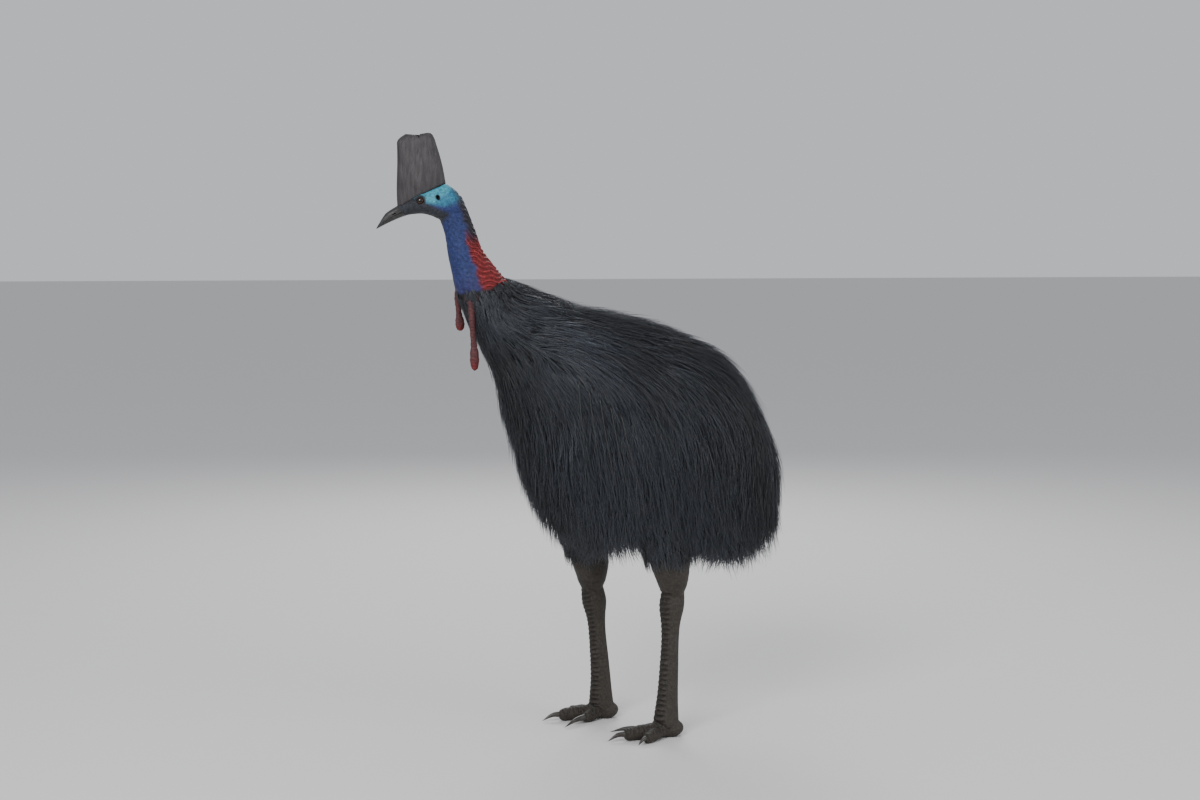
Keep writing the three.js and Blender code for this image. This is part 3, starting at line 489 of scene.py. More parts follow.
# One skin over all of the flesh
# The parts are closed over by one even net of skin. It is coarse on the trunk, which the coat hides, and
# fine on the head, because the shape is drawn in or out round these centres while the net is laid.
NET = 0.0032
SOFTENINGS = 2
# For each, the centre, the radius that is scaled, the scale, and where the scaling has faded out
SCALED_PLACES = (
    ((0, 0, 0.800), 0.38, 0.33, 0.60),
    ((-0.5475, 0.0137, 1.364), 0.085, 1.5, 0.150),
)


def scaled(points, centre, radius, times, end, back=False):
    """Points drawn away from a centre within a radius, less and less up to its end, or drawn back."""
    away = points - centre
    distance = np.linalg.norm(away, axis=1)
    plain = [0, radius, end, end + 10]
    changed = [0, radius * times, end, end + 10]
    if back:
        plain, changed = changed, plain
    return centre + away * (np.interp(distance, plain, changed) / np.maximum(distance, 1e-9))[:, None]


def points_of(mesh):
    """The places of a mesh's points."""
    places = np.empty(len(mesh.vertices) * 3)
    mesh.vertices.foreach_get("co", places)
    return places.reshape(-1, 3)


def move_points(mesh, places):
    """Puts a mesh's points at new places."""
    mesh.vertices.foreach_set("co", np.ascontiguousarray(places, dtype=np.float32).ravel())
    mesh.update()


flesh = mesh_object("Flesh", skin_shape)
flesh_points = points_of(flesh.data)
for centre, radius, times, end in SCALED_PLACES:
    flesh_points = scaled(flesh_points, np.array(centre), radius, times, end)
move_points(flesh.data, flesh_points)
net = flesh.modifiers.new("Net", "REMESH")
net.mode = "VOXEL"
net.voxel_size = NET
skin_mesh = settled(flesh)
skin_mesh.name = "skin"
skin_points = points_of(skin_mesh)
for centre, radius, times, end in reversed(SCALED_PLACES):
    skin_points = scaled(skin_points, np.array(centre), radius, times, end, back=True)
move_points(skin_mesh, skin_points)
soft_shape = bmesh.new()
soft_shape.from_mesh(skin_mesh)
for _ in range(SOFTENINGS):
    bmesh.ops.smooth_vert(
        soft_shape,
        verts=soft_shape.verts,
        factor=0.5,
        use_axis_x=True,
        use_axis_y=True,
        use_axis_z=True,
    )
soft_shape.to_mesh(skin_mesh)
soft_shape.free()
skin_points = points_of(skin_mesh)


# Markings of the skin
# Cobalt throat, turquoise behind the eye, dark face and nape, red folds at the back of the neck, dusty
# red wattles and grey-brown legs. They follow the lines of the neck, the head and the legs.
# The ear hole and the grooves between folds and scutes are darkened with painted shade.
FACE = np.array([0.022, 0.024, 0.030])
TURQUOISE = np.array([0.022, 0.125, 0.205])
BRIGHT_TURQUOISE = np.array([0.042, 0.225, 0.300])
COBALT = np.array([0.019, 0.030, 0.105])
VIOLET = np.array([0.024, 0.026, 0.095])
NAPE = np.array([0.026, 0.024, 0.034])
RED = np.array([0.255, 0.032, 0.034])
DUSTY_RED = np.array([0.088, 0.030, 0.032])
UNDER_COAT = np.array([0.008, 0.008, 0.009])
LEG_BROWN = np.array([0.034, 0.029, 0.024])
# The ear hole's near-black is painted shade of its hollow
EAR_PAINTED_SHADE = np.array([0.006, 0.008, 0.012])
MOTTLING = 0.16
NECK_FOOT = 1.02
COLLAR_AT = np.array([-0.364, 0, 1.178])
COLLAR_UP = np.array([-0.2, 0, 0.98])
# Where a colour starts, and where it is full. On the neck, 0 is its foot and 1 its top.
LEGS_FADE = (0.50, 0.44)
VIOLET_FADE = (0.55, 0.35)
RED_SIDE = (-0.05, 0.25)
RED_WIDENS = (0.55, 0.2)
RED_TOP = (0.80, 0.66)
NAPE_SIDE = (0.15, 0.6)
NAPE_FADE = (0.64, 0.76)
PATCH_FRONT = (0.064, 0.046)
PATCH_BACK = (-0.048, -0.026)
PATCH_UNDER = (-0.012, 0.012)
BRIGHT_UNDER = (0.016, 0.034)
FACE_BACK = (0.034, 0.050)
FACE_UNDER = (-0.030, -0.012)
EYE_RING = (0.0165, 0.0125)
EAR_SHADE = (1.15, 0.75)
EAR_OVAL = np.array([0.0060, 1, 0.0085])
WATTLE_EDGE = (0.024, 0.017)
# How many folds there are along the neck, a wattle and a shank, and how far apart scutes are on a toe
NECK_FOLDS = 20
FOLDS_SLANT = 2.4
WATTLE_FOLDS = 24
SHANK_SCUTES = 26
TOE_SCUTE = 0.0075
# How high the folds of the neck are, and which height counts as one; the others are shares of one
FINE_FOLD = 0.0004
RED_FOLD = 0.0036
NAPE_FOLD = 0.0014
FULL_FOLD = 0.0022
WATTLE_FOLD = 0.35
SHANK_FOLD = 0.9
TOE_FOLD = 0.55
FOLD_RELIEF = 0.0016
# How much darker the grooves between folds and scutes are painted: painted shade
PAINTED_GROOVE_SHADE = 0.55


def nearest(points, line):
    """For each point, the nearest sample of a line, how far along it that is, and how far away."""
    gaps = np.linalg.norm(points[:, None, :] - line[None, :, :], axis=2)
    sample = gaps.argmin(axis=1)
    return sample, sample / (len(line) - 1), gaps.min(axis=1)


def blend(colours, other, share):
    """The colours, changed to another by a share of 0 to 1."""
    return colours + (other - colours) * np.clip(share, 0, 1)[:, None]


rng = np.random.default_rng(7)
x, y, z = skin_points.T
colours = np.tile(UNDER_COAT, (len(skin_points), 1))
colours = blend(colours, LEG_BROWN, smoothstep(*LEGS_FADE, z))
# For each point: at which fold it is, and how high the folds are there
folds = np.zeros((len(skin_points), 3))

neck_line = curve(NECK_PATH, 120)
neck_way = np.gradient(neck_line, axis=0)
neck_way /= np.linalg.norm(neck_way, axis=1)[:, None]
backward = np.cross(SIDEWAYS, neck_way)
upper = z > NECK_FOOT
sample, along, from_line = nearest(skin_points[upper], neck_line)
away = skin_points[upper] - neck_line[sample]
to_back = (away * backward[sample]).sum(axis=1)
wave = 0.05 * np.sin(along * 47) + 0.04 * np.sin(along * 83 + 1)
back_share = to_back / np.maximum(from_line, 1e-6) + wave
neck_colours = np.tile(COBALT, (upper.sum(), 1))
neck_colours = blend(neck_colours, VIOLET, smoothstep(*VIOLET_FADE, along))
red_share = smoothstep(*RED_SIDE, back_share + 0.55 * smoothstep(*RED_WIDENS, along))
red_share = red_share * smoothstep(*RED_TOP, along)
neck_colours = blend(neck_colours, RED, red_share)
nape_share = smoothstep(*NAPE_SIDE, back_share) * smoothstep(*NAPE_FADE, along)
neck_colours = blend(neck_colours, NAPE, nape_share)

from_head = skin_points[upper] - np.array(HEAD_PLACE.translation)
head_points = from_head @ np.array(HEAD_PLACE)[:3, :3]
head_x, head_y, head_z = head_points.T
patch_share = smoothstep(*PATCH_FRONT, head_x + 1.2 * (0.045 - head_z))
patch_share = patch_share * smoothstep(*PATCH_UNDER, head_z) * smoothstep(*PATCH_BACK, head_x)
neck_colours = blend(neck_colours, TURQUOISE, patch_share)
bright_share = patch_share * smoothstep(*BRIGHT_UNDER, head_z + 0.3 * head_x)
neck_colours = blend(neck_colours, BRIGHT_TURQUOISE, bright_share)
face_share = smoothstep(*FACE_BACK, head_x + 0.8 * (0.035 - head_z))
face_share = face_share * smoothstep(*FACE_UNDER, head_z + 0.35 * head_x)
neck_colours = blend(neck_colours, FACE, face_share)
eye_gap = np.hypot(head_x - EYE_AT.x, head_z - EYE_AT.z)
neck_colours = blend(neck_colours, FACE * 0.8, smoothstep(*EYE_RING, eye_gap))
# The ear hole and its rim are painted near-black: painted shade in the hollow
ear_gap = np.hypot((head_x - EAR_AT.x) / EAR_OVAL[0], (head_z - EAR_AT.z) / EAR_OVAL[2])
neck_colours = blend(neck_colours, EAR_PAINTED_SHADE, smoothstep(*EAR_SHADE, ear_gap))
clouds = np.sin(head_x * 310 + 2 * np.sin(head_z * 240))
clouds = clouds * np.sin(head_z * 270 + 2 * np.sin(head_y * 200 + head_x * 170))
neck_colours = neck_colours * (1 + MOTTLING * clouds)[:, None]

# The bare skin of the neck ends at the collar, and isn't shown on the shoulders
on_neck = smoothstep(1.35, 1.12, from_line / between(NECK_PLACES, NECK_HALF_DEPTH, along))
on_neck = on_neck * smoothstep(0.02, 0.09, along)
on_neck = np.maximum(on_neck, smoothstep(0.75, 0.85, along))
on_neck = on_neck * smoothstep(-0.012, 0, (skin_points[upper] - COLLAR_AT) @ COLLAR_UP)
colours[upper] = blend(colours[upper], neck_colours, on_neck)

# Oblique folds of the neck: narrow on the nape, heavy and red lower down
fold_turn = np.arctan2(np.abs(away[:, 1]), to_back)
folds[upper, 0] = along * NECK_FOLDS - fold_turn * FOLDS_SLANT + 0.3 * np.sin(along * 31 + fold_turn * 5)
fold_height = FINE_FOLD + RED_FOLD * red_share + NAPE_FOLD * nape_share
fold_height = fold_height * smoothstep(0.06, 0.2, along) * smoothstep(1.0, 0.9, along) * on_neck
folds[upper, 1] = fold_height / FULL_FOLD

# Wattles, creased along their length, with a brighter bulb
for points in WATTLES:
    close = (z > 0.93) & (z < 1.19)
    _, share, gap = nearest(skin_points[close], curve(points, 60))
    here = smoothstep(*WATTLE_EDGE, gap) * smoothstep(0.0, 0.12, share)
    wattle_colours = blend(np.tile(DUSTY_RED, (close.sum(), 1)), RED * 0.6, smoothstep(0.8, 1, share))
    colours[close] = blend(colours[close], wattle_colours, here)
    folds[close, 0] = np.where(here > 0.5, share * WATTLE_FOLDS, folds[close, 0])
    folds[close, 1] = np.where(here > 0.5, WATTLE_FOLD, folds[close, 1])

# Broad scutes step down the front of the shank and along the top of each toe
for leg in LEGS.values():
    line = curve(leg["shank"], 120)
    close = (z < 0.385) & (z > 0.03) & (np.hypot(x - line[60][0], y - line[60][1]) < 0.08)
    sample, share, _ = nearest(skin_points[close], line)
    offset = skin_points[close] - line[sample]
    front = -offset[:, 0] / np.maximum(np.hypot(offset[:, 0], offset[:, 1]), 1e-6)
    folds[close, 0] = share * SHANK_SCUTES
    folds[close, 1] = smoothstep(0.35, 0.75, front) * SHANK_FOLD
for line, radius in toe_lines:
    close = z < 0.05
    sample, share, gap = nearest(skin_points[close], line)
    here = (gap < radius * 1.35) & (share > 0.12) & (share < 0.97)
    rising = smoothstep(-0.2, 0.5, (skin_points[close][:, 2] - line[sample][:, 2]) / radius)
    length = np.linalg.norm(line[-1] - line[0])
    folds[close, 0] = np.where(here, share * length / TOE_SCUTE, folds[close, 0])
    folds[close, 1] = np.where(here, rising * TOE_FOLD, folds[close, 1])

# The folds are raised on the skin itself; finer relief is left to the finish
normals = np.empty(len(skin_points) * 3)
skin_mesh.vertex_normals.foreach_get("vector", normals)
ripple = 0.5 + 0.5 * np.sin(folds[:, 0] * 2 * np.pi)
# The grooves between the folds and scutes are darkened in the colours: painted shade
colours = colours * (1 - PAINTED_GROOVE_SHADE * np.clip(folds[:, 1], 0, 1) * (1 - ripple))[:, None]
skin_points = skin_points + normals.reshape(-1, 3) * (ripple * folds[:, 1] * FOLD_RELIEF)[:, None]
skin_points[:, 2] = np.maximum(skin_points[:, 2], 0)
move_points(skin_mesh, skin_points)


# The kept colours hold the markings, and also painted shade and a painted sheen highlight
def set_point_colours(mesh, colours):
    """The colours of a mesh's points, kept in the mesh."""
    marks = mesh.color_attributes.new("Markings and painted light", "FLOAT_COLOR", "POINT")
    rgba = np.column_stack([colours, np.ones(len(colours))])
    marks.data.foreach_set("color", rgba.astype(np.float32).ravel())


set_point_colours(skin_mesh, colours)
relief = skin_mesh.attributes.new("Folds", "FLOAT_VECTOR", "POINT")
relief.data.foreach_set("vector", folds.astype(np.float32).ravel())
skin = bpy.data.objects.new("skin", skin_mesh)
bpy.context.collection.objects.link(skin)
BIRD_IN_FRAME = Matrix.Translation(BIRD_AT)
HEAD_IN_FRAME = BIRD_IN_FRAME @ HEAD_PLACE


def seated(piece, place, *finishes):
    """The piece moved to its place in the frame, shaded smooth, with its finishes."""
    piece.data.transform(place)
    piece.data.polygons.foreach_set("use_smooth", [True] * len(piece.data.polygons))
    for finish in finishes:
        piece.data.materials.append(finish)


def new_material(name, roughness):
    """A material, its nodes and links, and its shader."""
    material = bpy.data.materials.new(name)
    material.use_nodes = True
    nodes = material.node_tree.nodes
    shader = nodes["Principled BSDF"]
    shader.inputs["Roughness"].default_value = roughness
    return material, nodes, material.node_tree.links, shader


def object_noise(nodes, links, scale, detail=4.0, stretch=(1, 1, 1)):
    """Noise that is fixed to the piece."""
    place = nodes.new("ShaderNodeTexCoord")
    mapping = nodes.new("ShaderNodeMapping")
    mapping.inputs["Scale"].default_value = stretch
    noise = nodes.new("ShaderNodeTexNoise")
    noise.inputs["Scale"].default_value = scale
    noise.inputs["Detail"].default_value = detail
    links.new(place.outputs["Object"], mapping.inputs["Vector"])
    links.new(mapping.outputs["Vector"], noise.inputs["Vector"])
    return noise


def mottled(nodes, links, colour_from, noise, low, high):
    """The colour made darker and lighter by the noise."""
    spread = nodes.new("ShaderNodeMapRange")
    spread.inputs["From Min"].default_value = 0.3
    spread.inputs["From Max"].default_value = 0.7
    spread.inputs["To Min"].default_value = low
    spread.inputs["To Max"].default_value = high
    links.new(noise.outputs["Fac"], spread.inputs["Value"])
    product = nodes.new("ShaderNodeVectorMath")
    product.operation = "SCALE"
    links.new(colour_from, product.inputs["Vector"])
    links.new(spread.outputs["Result"], product.inputs["Scale"])
    return product.outputs["Vector"]


def bumped(nodes, links, shader, height_from, distance, strength=1.0, before=None):
    """Relief from a height, laid over earlier relief if there is any."""
    bump = nodes.new("ShaderNodeBump")
    bump.inputs["Strength"].default_value = strength
    bump.inputs["Distance"].default_value = distance
    links.new(height_from, bump.inputs["Height"])
    if before:
        links.new(before.outputs["Normal"], bump.inputs["Normal"])
    links.new(bump.outputs["Normal"], shader.inputs["Normal"])
    return bump


skin_finish, nodes, links, shader = new_material("Bare skin", 0.6)
shader.inputs["Specular IOR Level"].default_value = 0.25
# The skin's colours hold painted shade in the fold grooves and the ear hole
marks_and_shade = nodes.new("ShaderNodeAttribute")
marks_and_shade.attribute_name = "Markings and painted light"
fine_noise = object_noise(nodes, links, 160)
skin_colour = mottled(nodes, links, marks_and_shade.outputs["Color"], fine_noise, 0.65, 1.35)
links.new(skin_colour, shader.inputs["Base Color"])
fold_lines = nodes.new("ShaderNodeAttribute")
fold_lines.attribute_name = "Folds"
parted = nodes.new("ShaderNodeSeparateXYZ")
links.new(fold_lines.outputs["Vector"], parted.inputs["Vector"])
cycle = nodes.new("ShaderNodeMath")
cycle.operation = "MULTIPLY"
cycle.inputs[1].default_value = 2 * math.pi
links.new(parted.outputs["X"], cycle.inputs[0])
swell = nodes.new("ShaderNodeMath")
swell.operation = "SINE"
links.new(cycle.outputs["Value"], swell.inputs[0])
raised = nodes.new("ShaderNodeMath")
raised.operation = "MULTIPLY"
links.new(swell.outputs["Value"], raised.inputs[0])
links.new(parted.outputs["Y"], raised.inputs[1])
pebbles = nodes.new("ShaderNodeTexVoronoi")
pebbles.inputs["Scale"].default_value = 230
place = nodes.new("ShaderNodeTexCoord")
links.new(place.outputs["Object"], pebbles.inputs["Vector"])
fold_bump = bumped(nodes, links, shader, raised.outputs["Value"], 0.0012)
pebble_bump = bumped(nodes, links, shader, pebbles.outputs["Distance"], -0.0009, 0.8, fold_bump)
bumped(nodes, links, shader, fine_noise.outputs["Fac"], 0.0006, 0.8, pebble_bump)
seated(skin, BIRD_IN_FRAME, skin_finish)
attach(skin, "root")
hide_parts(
    "head", "neck_upper", "neck_lower", "wattle_left", "wattle_right", "torso", "tail",
    "wing_left", "wing_right", "thigh_left", "thigh_right", "tarsus_left", "tarsus_right",
    "foot_left", "foot_right",
)


# Casque
# A tall, narrow helmet of horn over a spongy core, slate grey-brown, with fine upright cracks and a
# small notch at its top. It is a row of rings, each a long oval, and it is sunk in the crown.
CASQUE_FRONT = (
    (0, 0.110), (0.25, 0.092), (0.6, 0.063), (0.82, 0.0455), (0.9, 0.0395),
    (0.94, 0.0365), (0.97, 0.0315), (0.985, 0.026), (0.995, 0.0185), (1, 0.008),
)
CASQUE_BACK = (
    (0, -0.025), (0.3, -0.037), (0.7, -0.048), (0.86, -0.051), (0.92, -0.0505),
    (0.96, -0.0475), (0.985, -0.042), (0.995, -0.036), (1, -0.026),
)
CASQUE_HALF_THICKNESS = (
    (0, 0.022), (0.2, 0.026), (0.7, 0.019), (0.9, 0.0145), (0.97, 0.009), (0.99, 0.0055), (1, 0.0006),
)
CASQUE_FLOOR = 0.0535
CASQUE_FRONT_TOP = 0.206
CASQUE_BACK_TOP = 0.186
CASQUE_SQUARENESS = 2.3
CASQUE_WEAR = 0.0009
NOTCH_AT = -0.018
NOTCH_DEPTH = 0.009
NOTCH_BREADTH = 0.0034


def horn(name, roughness, colour, darkest, palest, grain, relief, cracks=None):
    """A finish of mottled horn. Its grain and its cracks are each a noise's scale, detail and stretch."""
    finish, nodes, links, shader = new_material(name, roughness)
    base = nodes.new("ShaderNodeRGB")
    base.outputs[0].default_value = colour
    grain_noise = object_noise(nodes, links, *grain)
    horn_colour = mottled(nodes, links, base.outputs[0], grain_noise, darkest, palest)
    links.new(horn_colour, shader.inputs["Base Color"])
    crack_noise = object_noise(nodes, links, *cracks) if cracks else grain_noise
    bumped(nodes, links, shader, crack_noise.outputs["Fac"], relief)
    return finish


casque_shape = bmesh.new()
casque_rings = []
casque_turn = np.linspace(0, 2 * np.pi, 72, endpoint=False)
forward = np.abs(np.cos(casque_turn)) ** CASQUE_SQUARENESS
outward = np.abs(np.sin(casque_turn)) ** CASQUE_SQUARENESS
ring_reach = (forward + outward) ** (-1 / CASQUE_SQUARENESS)
for rise in 1 - (1 - np.linspace(0, 1, 44)) ** 1.5:
    front = profile(CASQUE_FRONT, rise)
    rear = profile(CASQUE_BACK, rise)
    thickness = profile(CASQUE_HALF_THICKNESS, rise)
    share = 0.5 + 0.5 * ring_reach * np.cos(casque_turn)
    x = rear + (front - rear) * share
    low = CASQUE_FLOOR * (1 - rise) + CASQUE_BACK_TOP * rise
    high = CASQUE_FLOOR * (1 - rise) + CASQUE_FRONT_TOP * rise
    worn = CASQUE_WEAR * np.sin(x * 130 + rise * 5) * np.sin(rise * 17 + x * 45)
    y = thickness * ring_reach * np.sin(casque_turn) * (1 + 0.03 * np.sin(x * 210)) + worn
    notch = NOTCH_DEPTH * np.exp(-(((x - NOTCH_AT) / NOTCH_BREADTH) ** 2)) * smoothstep(0.9, 1, rise)
    casque_rings.append(np.stack([x, y, low + (high - low) * share - notch], axis=1))
loft(casque_shape, casque_rings)
casque = mesh_object("casque_horn", casque_shape)
casque_finish = horn(
    "Casque horn", 0.62, (0.029, 0.025, 0.027, 1), 0.55, 1.5, (42, 6.0, (3.5, 3.5, 0.5)), 0.0022,
    (60, 8.0, (4.0, 4.0, 0.4)),
)
seated(casque, HEAD_IN_FRAME, casque_finish)
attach(casque, "root")
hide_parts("casque")


# Bill
# Two black horn sheaths over bone, with a nostril on each side and a thin gape between them.
# Each is rings of the head's own section, cut off at the line of the mouth.
MOUTH_LINE = (
    (0.050, 0.021), (0.060, 0.024), (0.084, 0.033), (0.110, 0.0385), (0.150, 0.038), (0.182, 0.0324),
)
MOUTH_GAP = 0.00012
BILL_ROOT = 0.103
BILL_TIP = 0.180
BILL_EDGE = 0.0005
BILL_SHARP_EDGE = math.radians(50)
NOSTRIL = Vector((0.122, 0.0108, 0.0440))
NOSTRIL_SIZE = (0.0065, 0.0045, 0.0013)

bill_finish = horn("Bill horn", 0.36, (0.020, 0.019, 0.020, 1), 0.6, 1.6, (90, 5.0), 0.0006)
bill_places = BILL_ROOT + (BILL_TIP - BILL_ROOT) * (1 - (1 - np.linspace(0, 1, 36)) ** 1.4)
for name, is_upper in (("bill_upper", True), ("bill_lower", False)):
    bill_shape = bmesh.new()
    bill_rings = []
    for x in bill_places:
        ring = head_ring(x, BILL_EDGE * (BILL_TIP - x) / (BILL_TIP - BILL_ROOT), 48)
        mouth = profile(MOUTH_LINE, x)
        if is_upper:
            ring[:, 2] = np.maximum(ring[:, 2], mouth + MOUTH_GAP)
        else:
            ring[:, 2] = np.minimum(ring[:, 2], mouth - MOUTH_GAP)
        bill_rings.append(ring)
    loft(bill_shape, bill_rings)
    bill = mesh_object(name + "_horn", bill_shape)
    if is_upper:
        nostril_shape = bmesh.new()
        for side in (-1, 1):
            add_ball(nostril_shape, NOSTRIL * Vector((1, side, 1)), NOSTRIL_SIZE)
        nostrils = mesh_object("Nostrils", nostril_shape)
        cut = bill.modifiers.new("Nostrils", "BOOLEAN")
        cut.object = nostrils
        cut.operation = "DIFFERENCE"
        cut.solver = "MANIFOLD"
        cut_shape = bmesh.new()
        cut_shape.from_mesh(settled(bill))
        bpy.data.objects.remove(nostrils)
        bill = mesh_object(name + "_horn", cut_shape)
    seated(bill, HEAD_IN_FRAME, bill_finish)
    bill.data.set_sharp_from_angle(angle=BILL_SHARP_EDGE)
    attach(bill, "root")
    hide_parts(name)


# Claws
# Dark, blunt horn sheaths on the toes; the inner one is a straight dagger.
# Each is a row of shrinking rings that starts inside its toe.
CLAWS = {
    "middle": {"length": 0.046, "radius": 0.0085},
    "outer": {"length": 0.032, "radius": 0.0075},
    "inner": {"length": 0.078, "radius": 0.0090},
}
CLAW_OVERLAP = 0.014
CLAW_TIP_HEIGHT = 0.0042

claw_finish = horn("Claw horn", 0.4, (0.030, 0.026, 0.022, 1), 0.6, 1.7, (80, 4.0), 0.0005)
for side_name, leg in LEGS.items():
    foot = np.array([*leg["foot"], 0])
    for toe_name, toe in TOES.items():
        way = toe_way(leg, toe)
        height = toe["radius"] - SOLE_CUT
        start = toe["length"] - CLAW_OVERLAP
        end = toe["length"] + CLAWS[toe_name]["length"]
        claw_line = curve(
            [
                foot + way * start + (0, 0, height + 0.001),
                foot + way * (start + end) / 2 + (0, 0, height + 0.0015),
                foot + way * end + (0, 0, CLAW_TIP_HEIGHT),
            ],
            26,
        )
        claw_radius = CLAWS[toe_name]["radius"] * (1 - np.linspace(0, 0.985, 26) ** 1.6)
        claw_shape = bmesh.new()
        loft(claw_shape, around(claw_line, np.cross((0, 0, 1), way), claw_radius, claw_radius * 0.85, 20))
        claw = mesh_object("claw_horn_" + toe_name + "_" + side_name, claw_shape)
        seated(claw, BIRD_IN_FRAME, claw_finish)
        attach(claw, "root")
        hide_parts("claw_" + toe_name + "_" + side_name)


# Eyes
# A brown iris round a wide black pupil under a clear, wet cornea.
# Each is a ball whose pole looks out of the lids; rings of faces round the pole are pupil and iris.
PUPIL_RING = 0.40
IRIS_RING = 0.78
eye_finishes = []
for name, colour, roughness in (
    ("Eye white", (0.030, 0.022, 0.020, 1), 0.12),
    ("Iris", (0.030, 0.012, 0.006, 1), 0.08),
    ("Pupil", (0.002, 0.002, 0.002, 1), 0.05),
):
    eye_finish, nodes, links, shader = new_material(name, roughness)
    shader.inputs["Base Color"].default_value = colour
    shader.inputs["Specular IOR Level"].default_value = 0.3
    shader.inputs["Coat Weight"].default_value = 0.25
    shader.inputs["Coat Roughness"].default_value = 0.02
    eye_finishes.append(eye_finish)
for side_name, side in (("left", 1), ("right", -1)):
    eye_shape = bmesh.new()
    bmesh.ops.create_uvsphere(eye_shape, u_segments=48, v_segments=40, radius=EYE_RADIUS)
    for face in eye_shape.faces:
        rim_gap = math.acos(min(1, face.calc_center_median().normalized().z))
        face.material_index = 2 if rim_gap < PUPIL_RING else 1 if rim_gap < IRIS_RING else 0
    bmesh.ops.rotate(eye_shape, verts=eye_shape.verts, matrix=Matrix.Rotation(-side * math.pi / 2, 3, "X"))
    bmesh.ops.translate(eye_shape, verts=eye_shape.verts, vec=(EYE_AT.x, side * EYE_AT.y, EYE_AT.z))
    eye = mesh_object("eyeball_" + side_name, eye_shape)
    seated(eye, HEAD_IN_FRAME, *eye_finishes)
    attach(eye, "root")
    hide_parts("eye_" + side_name)


# Coat
# Long, loose, drooping plumes that look like coarse black hair with a blue-grey sheen.
# Each tuft is a few thin, pointed blades that share a root, lie along the body and hang free at the hem.
BLADE_POINTS = 6
BLADES_A_TUFT = 5
BLADE_TIP_WIDTH = 0.25
BODY_TUFTS = 7700
# The length of a tuft, and the width, spread and curl of its blades: on the trunk, and then what is
# added to that at the foot of the neck, at the rump and at the hem
PLUME_LENGTH = (0.150, -0.085, 0.035, 0.020)
BLADE_WIDTH = (0.0030, -0.0009, 0, 0)
BLADE_SPREAD = (0.011, -0.004, 0, 0.004)
BLADE_CURL = (0.010, -0.004, 0.006, 0.018)
PLUME_BLACK = (0.0074, 0.0082, 0.0110)
# A lighter blue-grey patch on the near shoulder, round the whorl: a painted sheen highlight
PAINTED_SHEEN = np.array([0.020, 0.024, 0.030])
PAINTED_SHEEN_AT = np.array([-0.262, -0.19, 1.075])
PAINTED_SHEEN_REACH = 0.085
BROWN_SHARE = 0.12
STRAY_SHARE = 0.04
HEM_AT = 0.428
LEG_GAP_AT = -0.03
LEG_GAP_REACH = 0.07
LEG_GAP_RISE = 0.055
RUMP_HEM_RISE = 0.060
HOLLOW = 0.09
WHORL = np.array([-0.294, -0.22, 0.996])
WHORL_REACH = 0.065
WHORL_STRENGTH = 0.4
# How far under the level the plumes point: on top of the back, and what depth and the rump add, in degrees
BACK_FALL = 14
DEPTH_FALL = 66
RUMP_FALL = 34
STEEPEST_FALL = 88
DOWN = np.array([0, 0, -1.0])


def unit(vectors):
    """The vectors at a length of one."""
    return vectors / np.maximum(np.linalg.norm(vectors, axis=-1, keepdims=True), 1e-9)


def steepest(level, points):
    """The direction in which a level grows fastest, which is straight out of its surface."""
    step = 0.002
    slope = [level(points + step * axis) - level(points - step * axis) for axis in np.eye(3)]
    return unit(np.stack(slope, axis=1))


def body_lie(points):
    """The way that plumes lie: back and down, steeper on breast and rump, parted round the whorl."""
    fall = BACK_FALL + DEPTH_FALL * smoothstep(0, 0.43, 1.13 - points[:, 2])
    fall = fall + RUMP_FALL * smoothstep(0.13, 0.37, points[:, 0])
    fall = np.radians(np.minimum(fall, STEEPEST_FALL))
    way = np.stack([np.cos(fall), np.zeros(len(points)), -np.sin(fall)], axis=1)
    from_whorl = points - WHORL
    from_whorl[:, 1] = 0
    gap = np.linalg.norm(from_whorl, axis=1)
    near = np.exp(-((gap / WHORL_REACH) ** 2)) * WHORL_STRENGTH
    return unit(way * (1 - near)[:, None] + unit(from_whorl) * near[:, None])


def skin_gaps(points):
    """How far each point is outside the skin of the trunk, and how far outside that of the neck."""
    from_middle = np.linalg.norm(points - BODY_MIDDLE, axis=1)
    off_body = from_middle - from_middle / np.maximum(body_level(points), 0.2)
    sample, along, _ = nearest(points, neck_line)
    away = points - neck_line[sample]
    deep = (away * backward[sample]).sum(axis=1) / between(NECK_PLACES, NECK_HALF_DEPTH, along)
    wide = away[:, 1] / between(NECK_PLACES, NECK_HALF_WIDTH, along)
    from_line = np.linalg.norm(away, axis=1)
    off_neck = from_line - from_line / np.maximum(np.hypot(deep, wide), 0.2)
    return off_body, off_neck


def coat_gap(points):
    """How far each point is outside both skins, with the hollow between them filled."""
    off_body, off_neck = skin_gaps(points)
    fill = np.maximum(HOLLOW - np.abs(off_body - off_neck), 0) / HOLLOW
    return np.minimum(off_body, off_neck) - fill**2 * HOLLOW / 4


def coat_lie(points):
    """The way that plumes lie: down the neck on its root, and then as they do on the trunk."""
    off_body, off_neck = skin_gaps(points)
    share = smoothstep(-0.02, 0.03, off_body - off_neck)[:, None]
    sample, _, _ = nearest(points, neck_line)
    down_neck = unit(np.array([0.3, 0, -1.0]) - neck_way[sample])
    return unit(body_lie(points) * (1 - share) + down_neck * share)


def follow_skin(roots, lengths, lifts):
    """The middle line of each tuft, laid over the skin and left to hang where the trunk turns in."""
    line = [roots]
    point = roots.copy()
    steps = BLADE_POINTS - 1
    for k in range(1, BLADE_POINTS):
        share = k / steps
        way = coat_lie(point)
        out = steepest(coat_gap, point)
        into = np.minimum((way * out).sum(axis=1), 0)
        way = unit(way - out * into[:, None] + 0.25 * share * DOWN)
        point = point + way * (lengths / steps)[:, None]
        height = lifts * math.sin(share * math.pi * 0.5) ** 0.7
        for _ in range(3):
            short = np.clip(height - coat_gap(point), 0, 0.012)
            point = point + steepest(coat_gap, point) * short[:, None]
        line.append(point)
    return np.stack(line, axis=1)


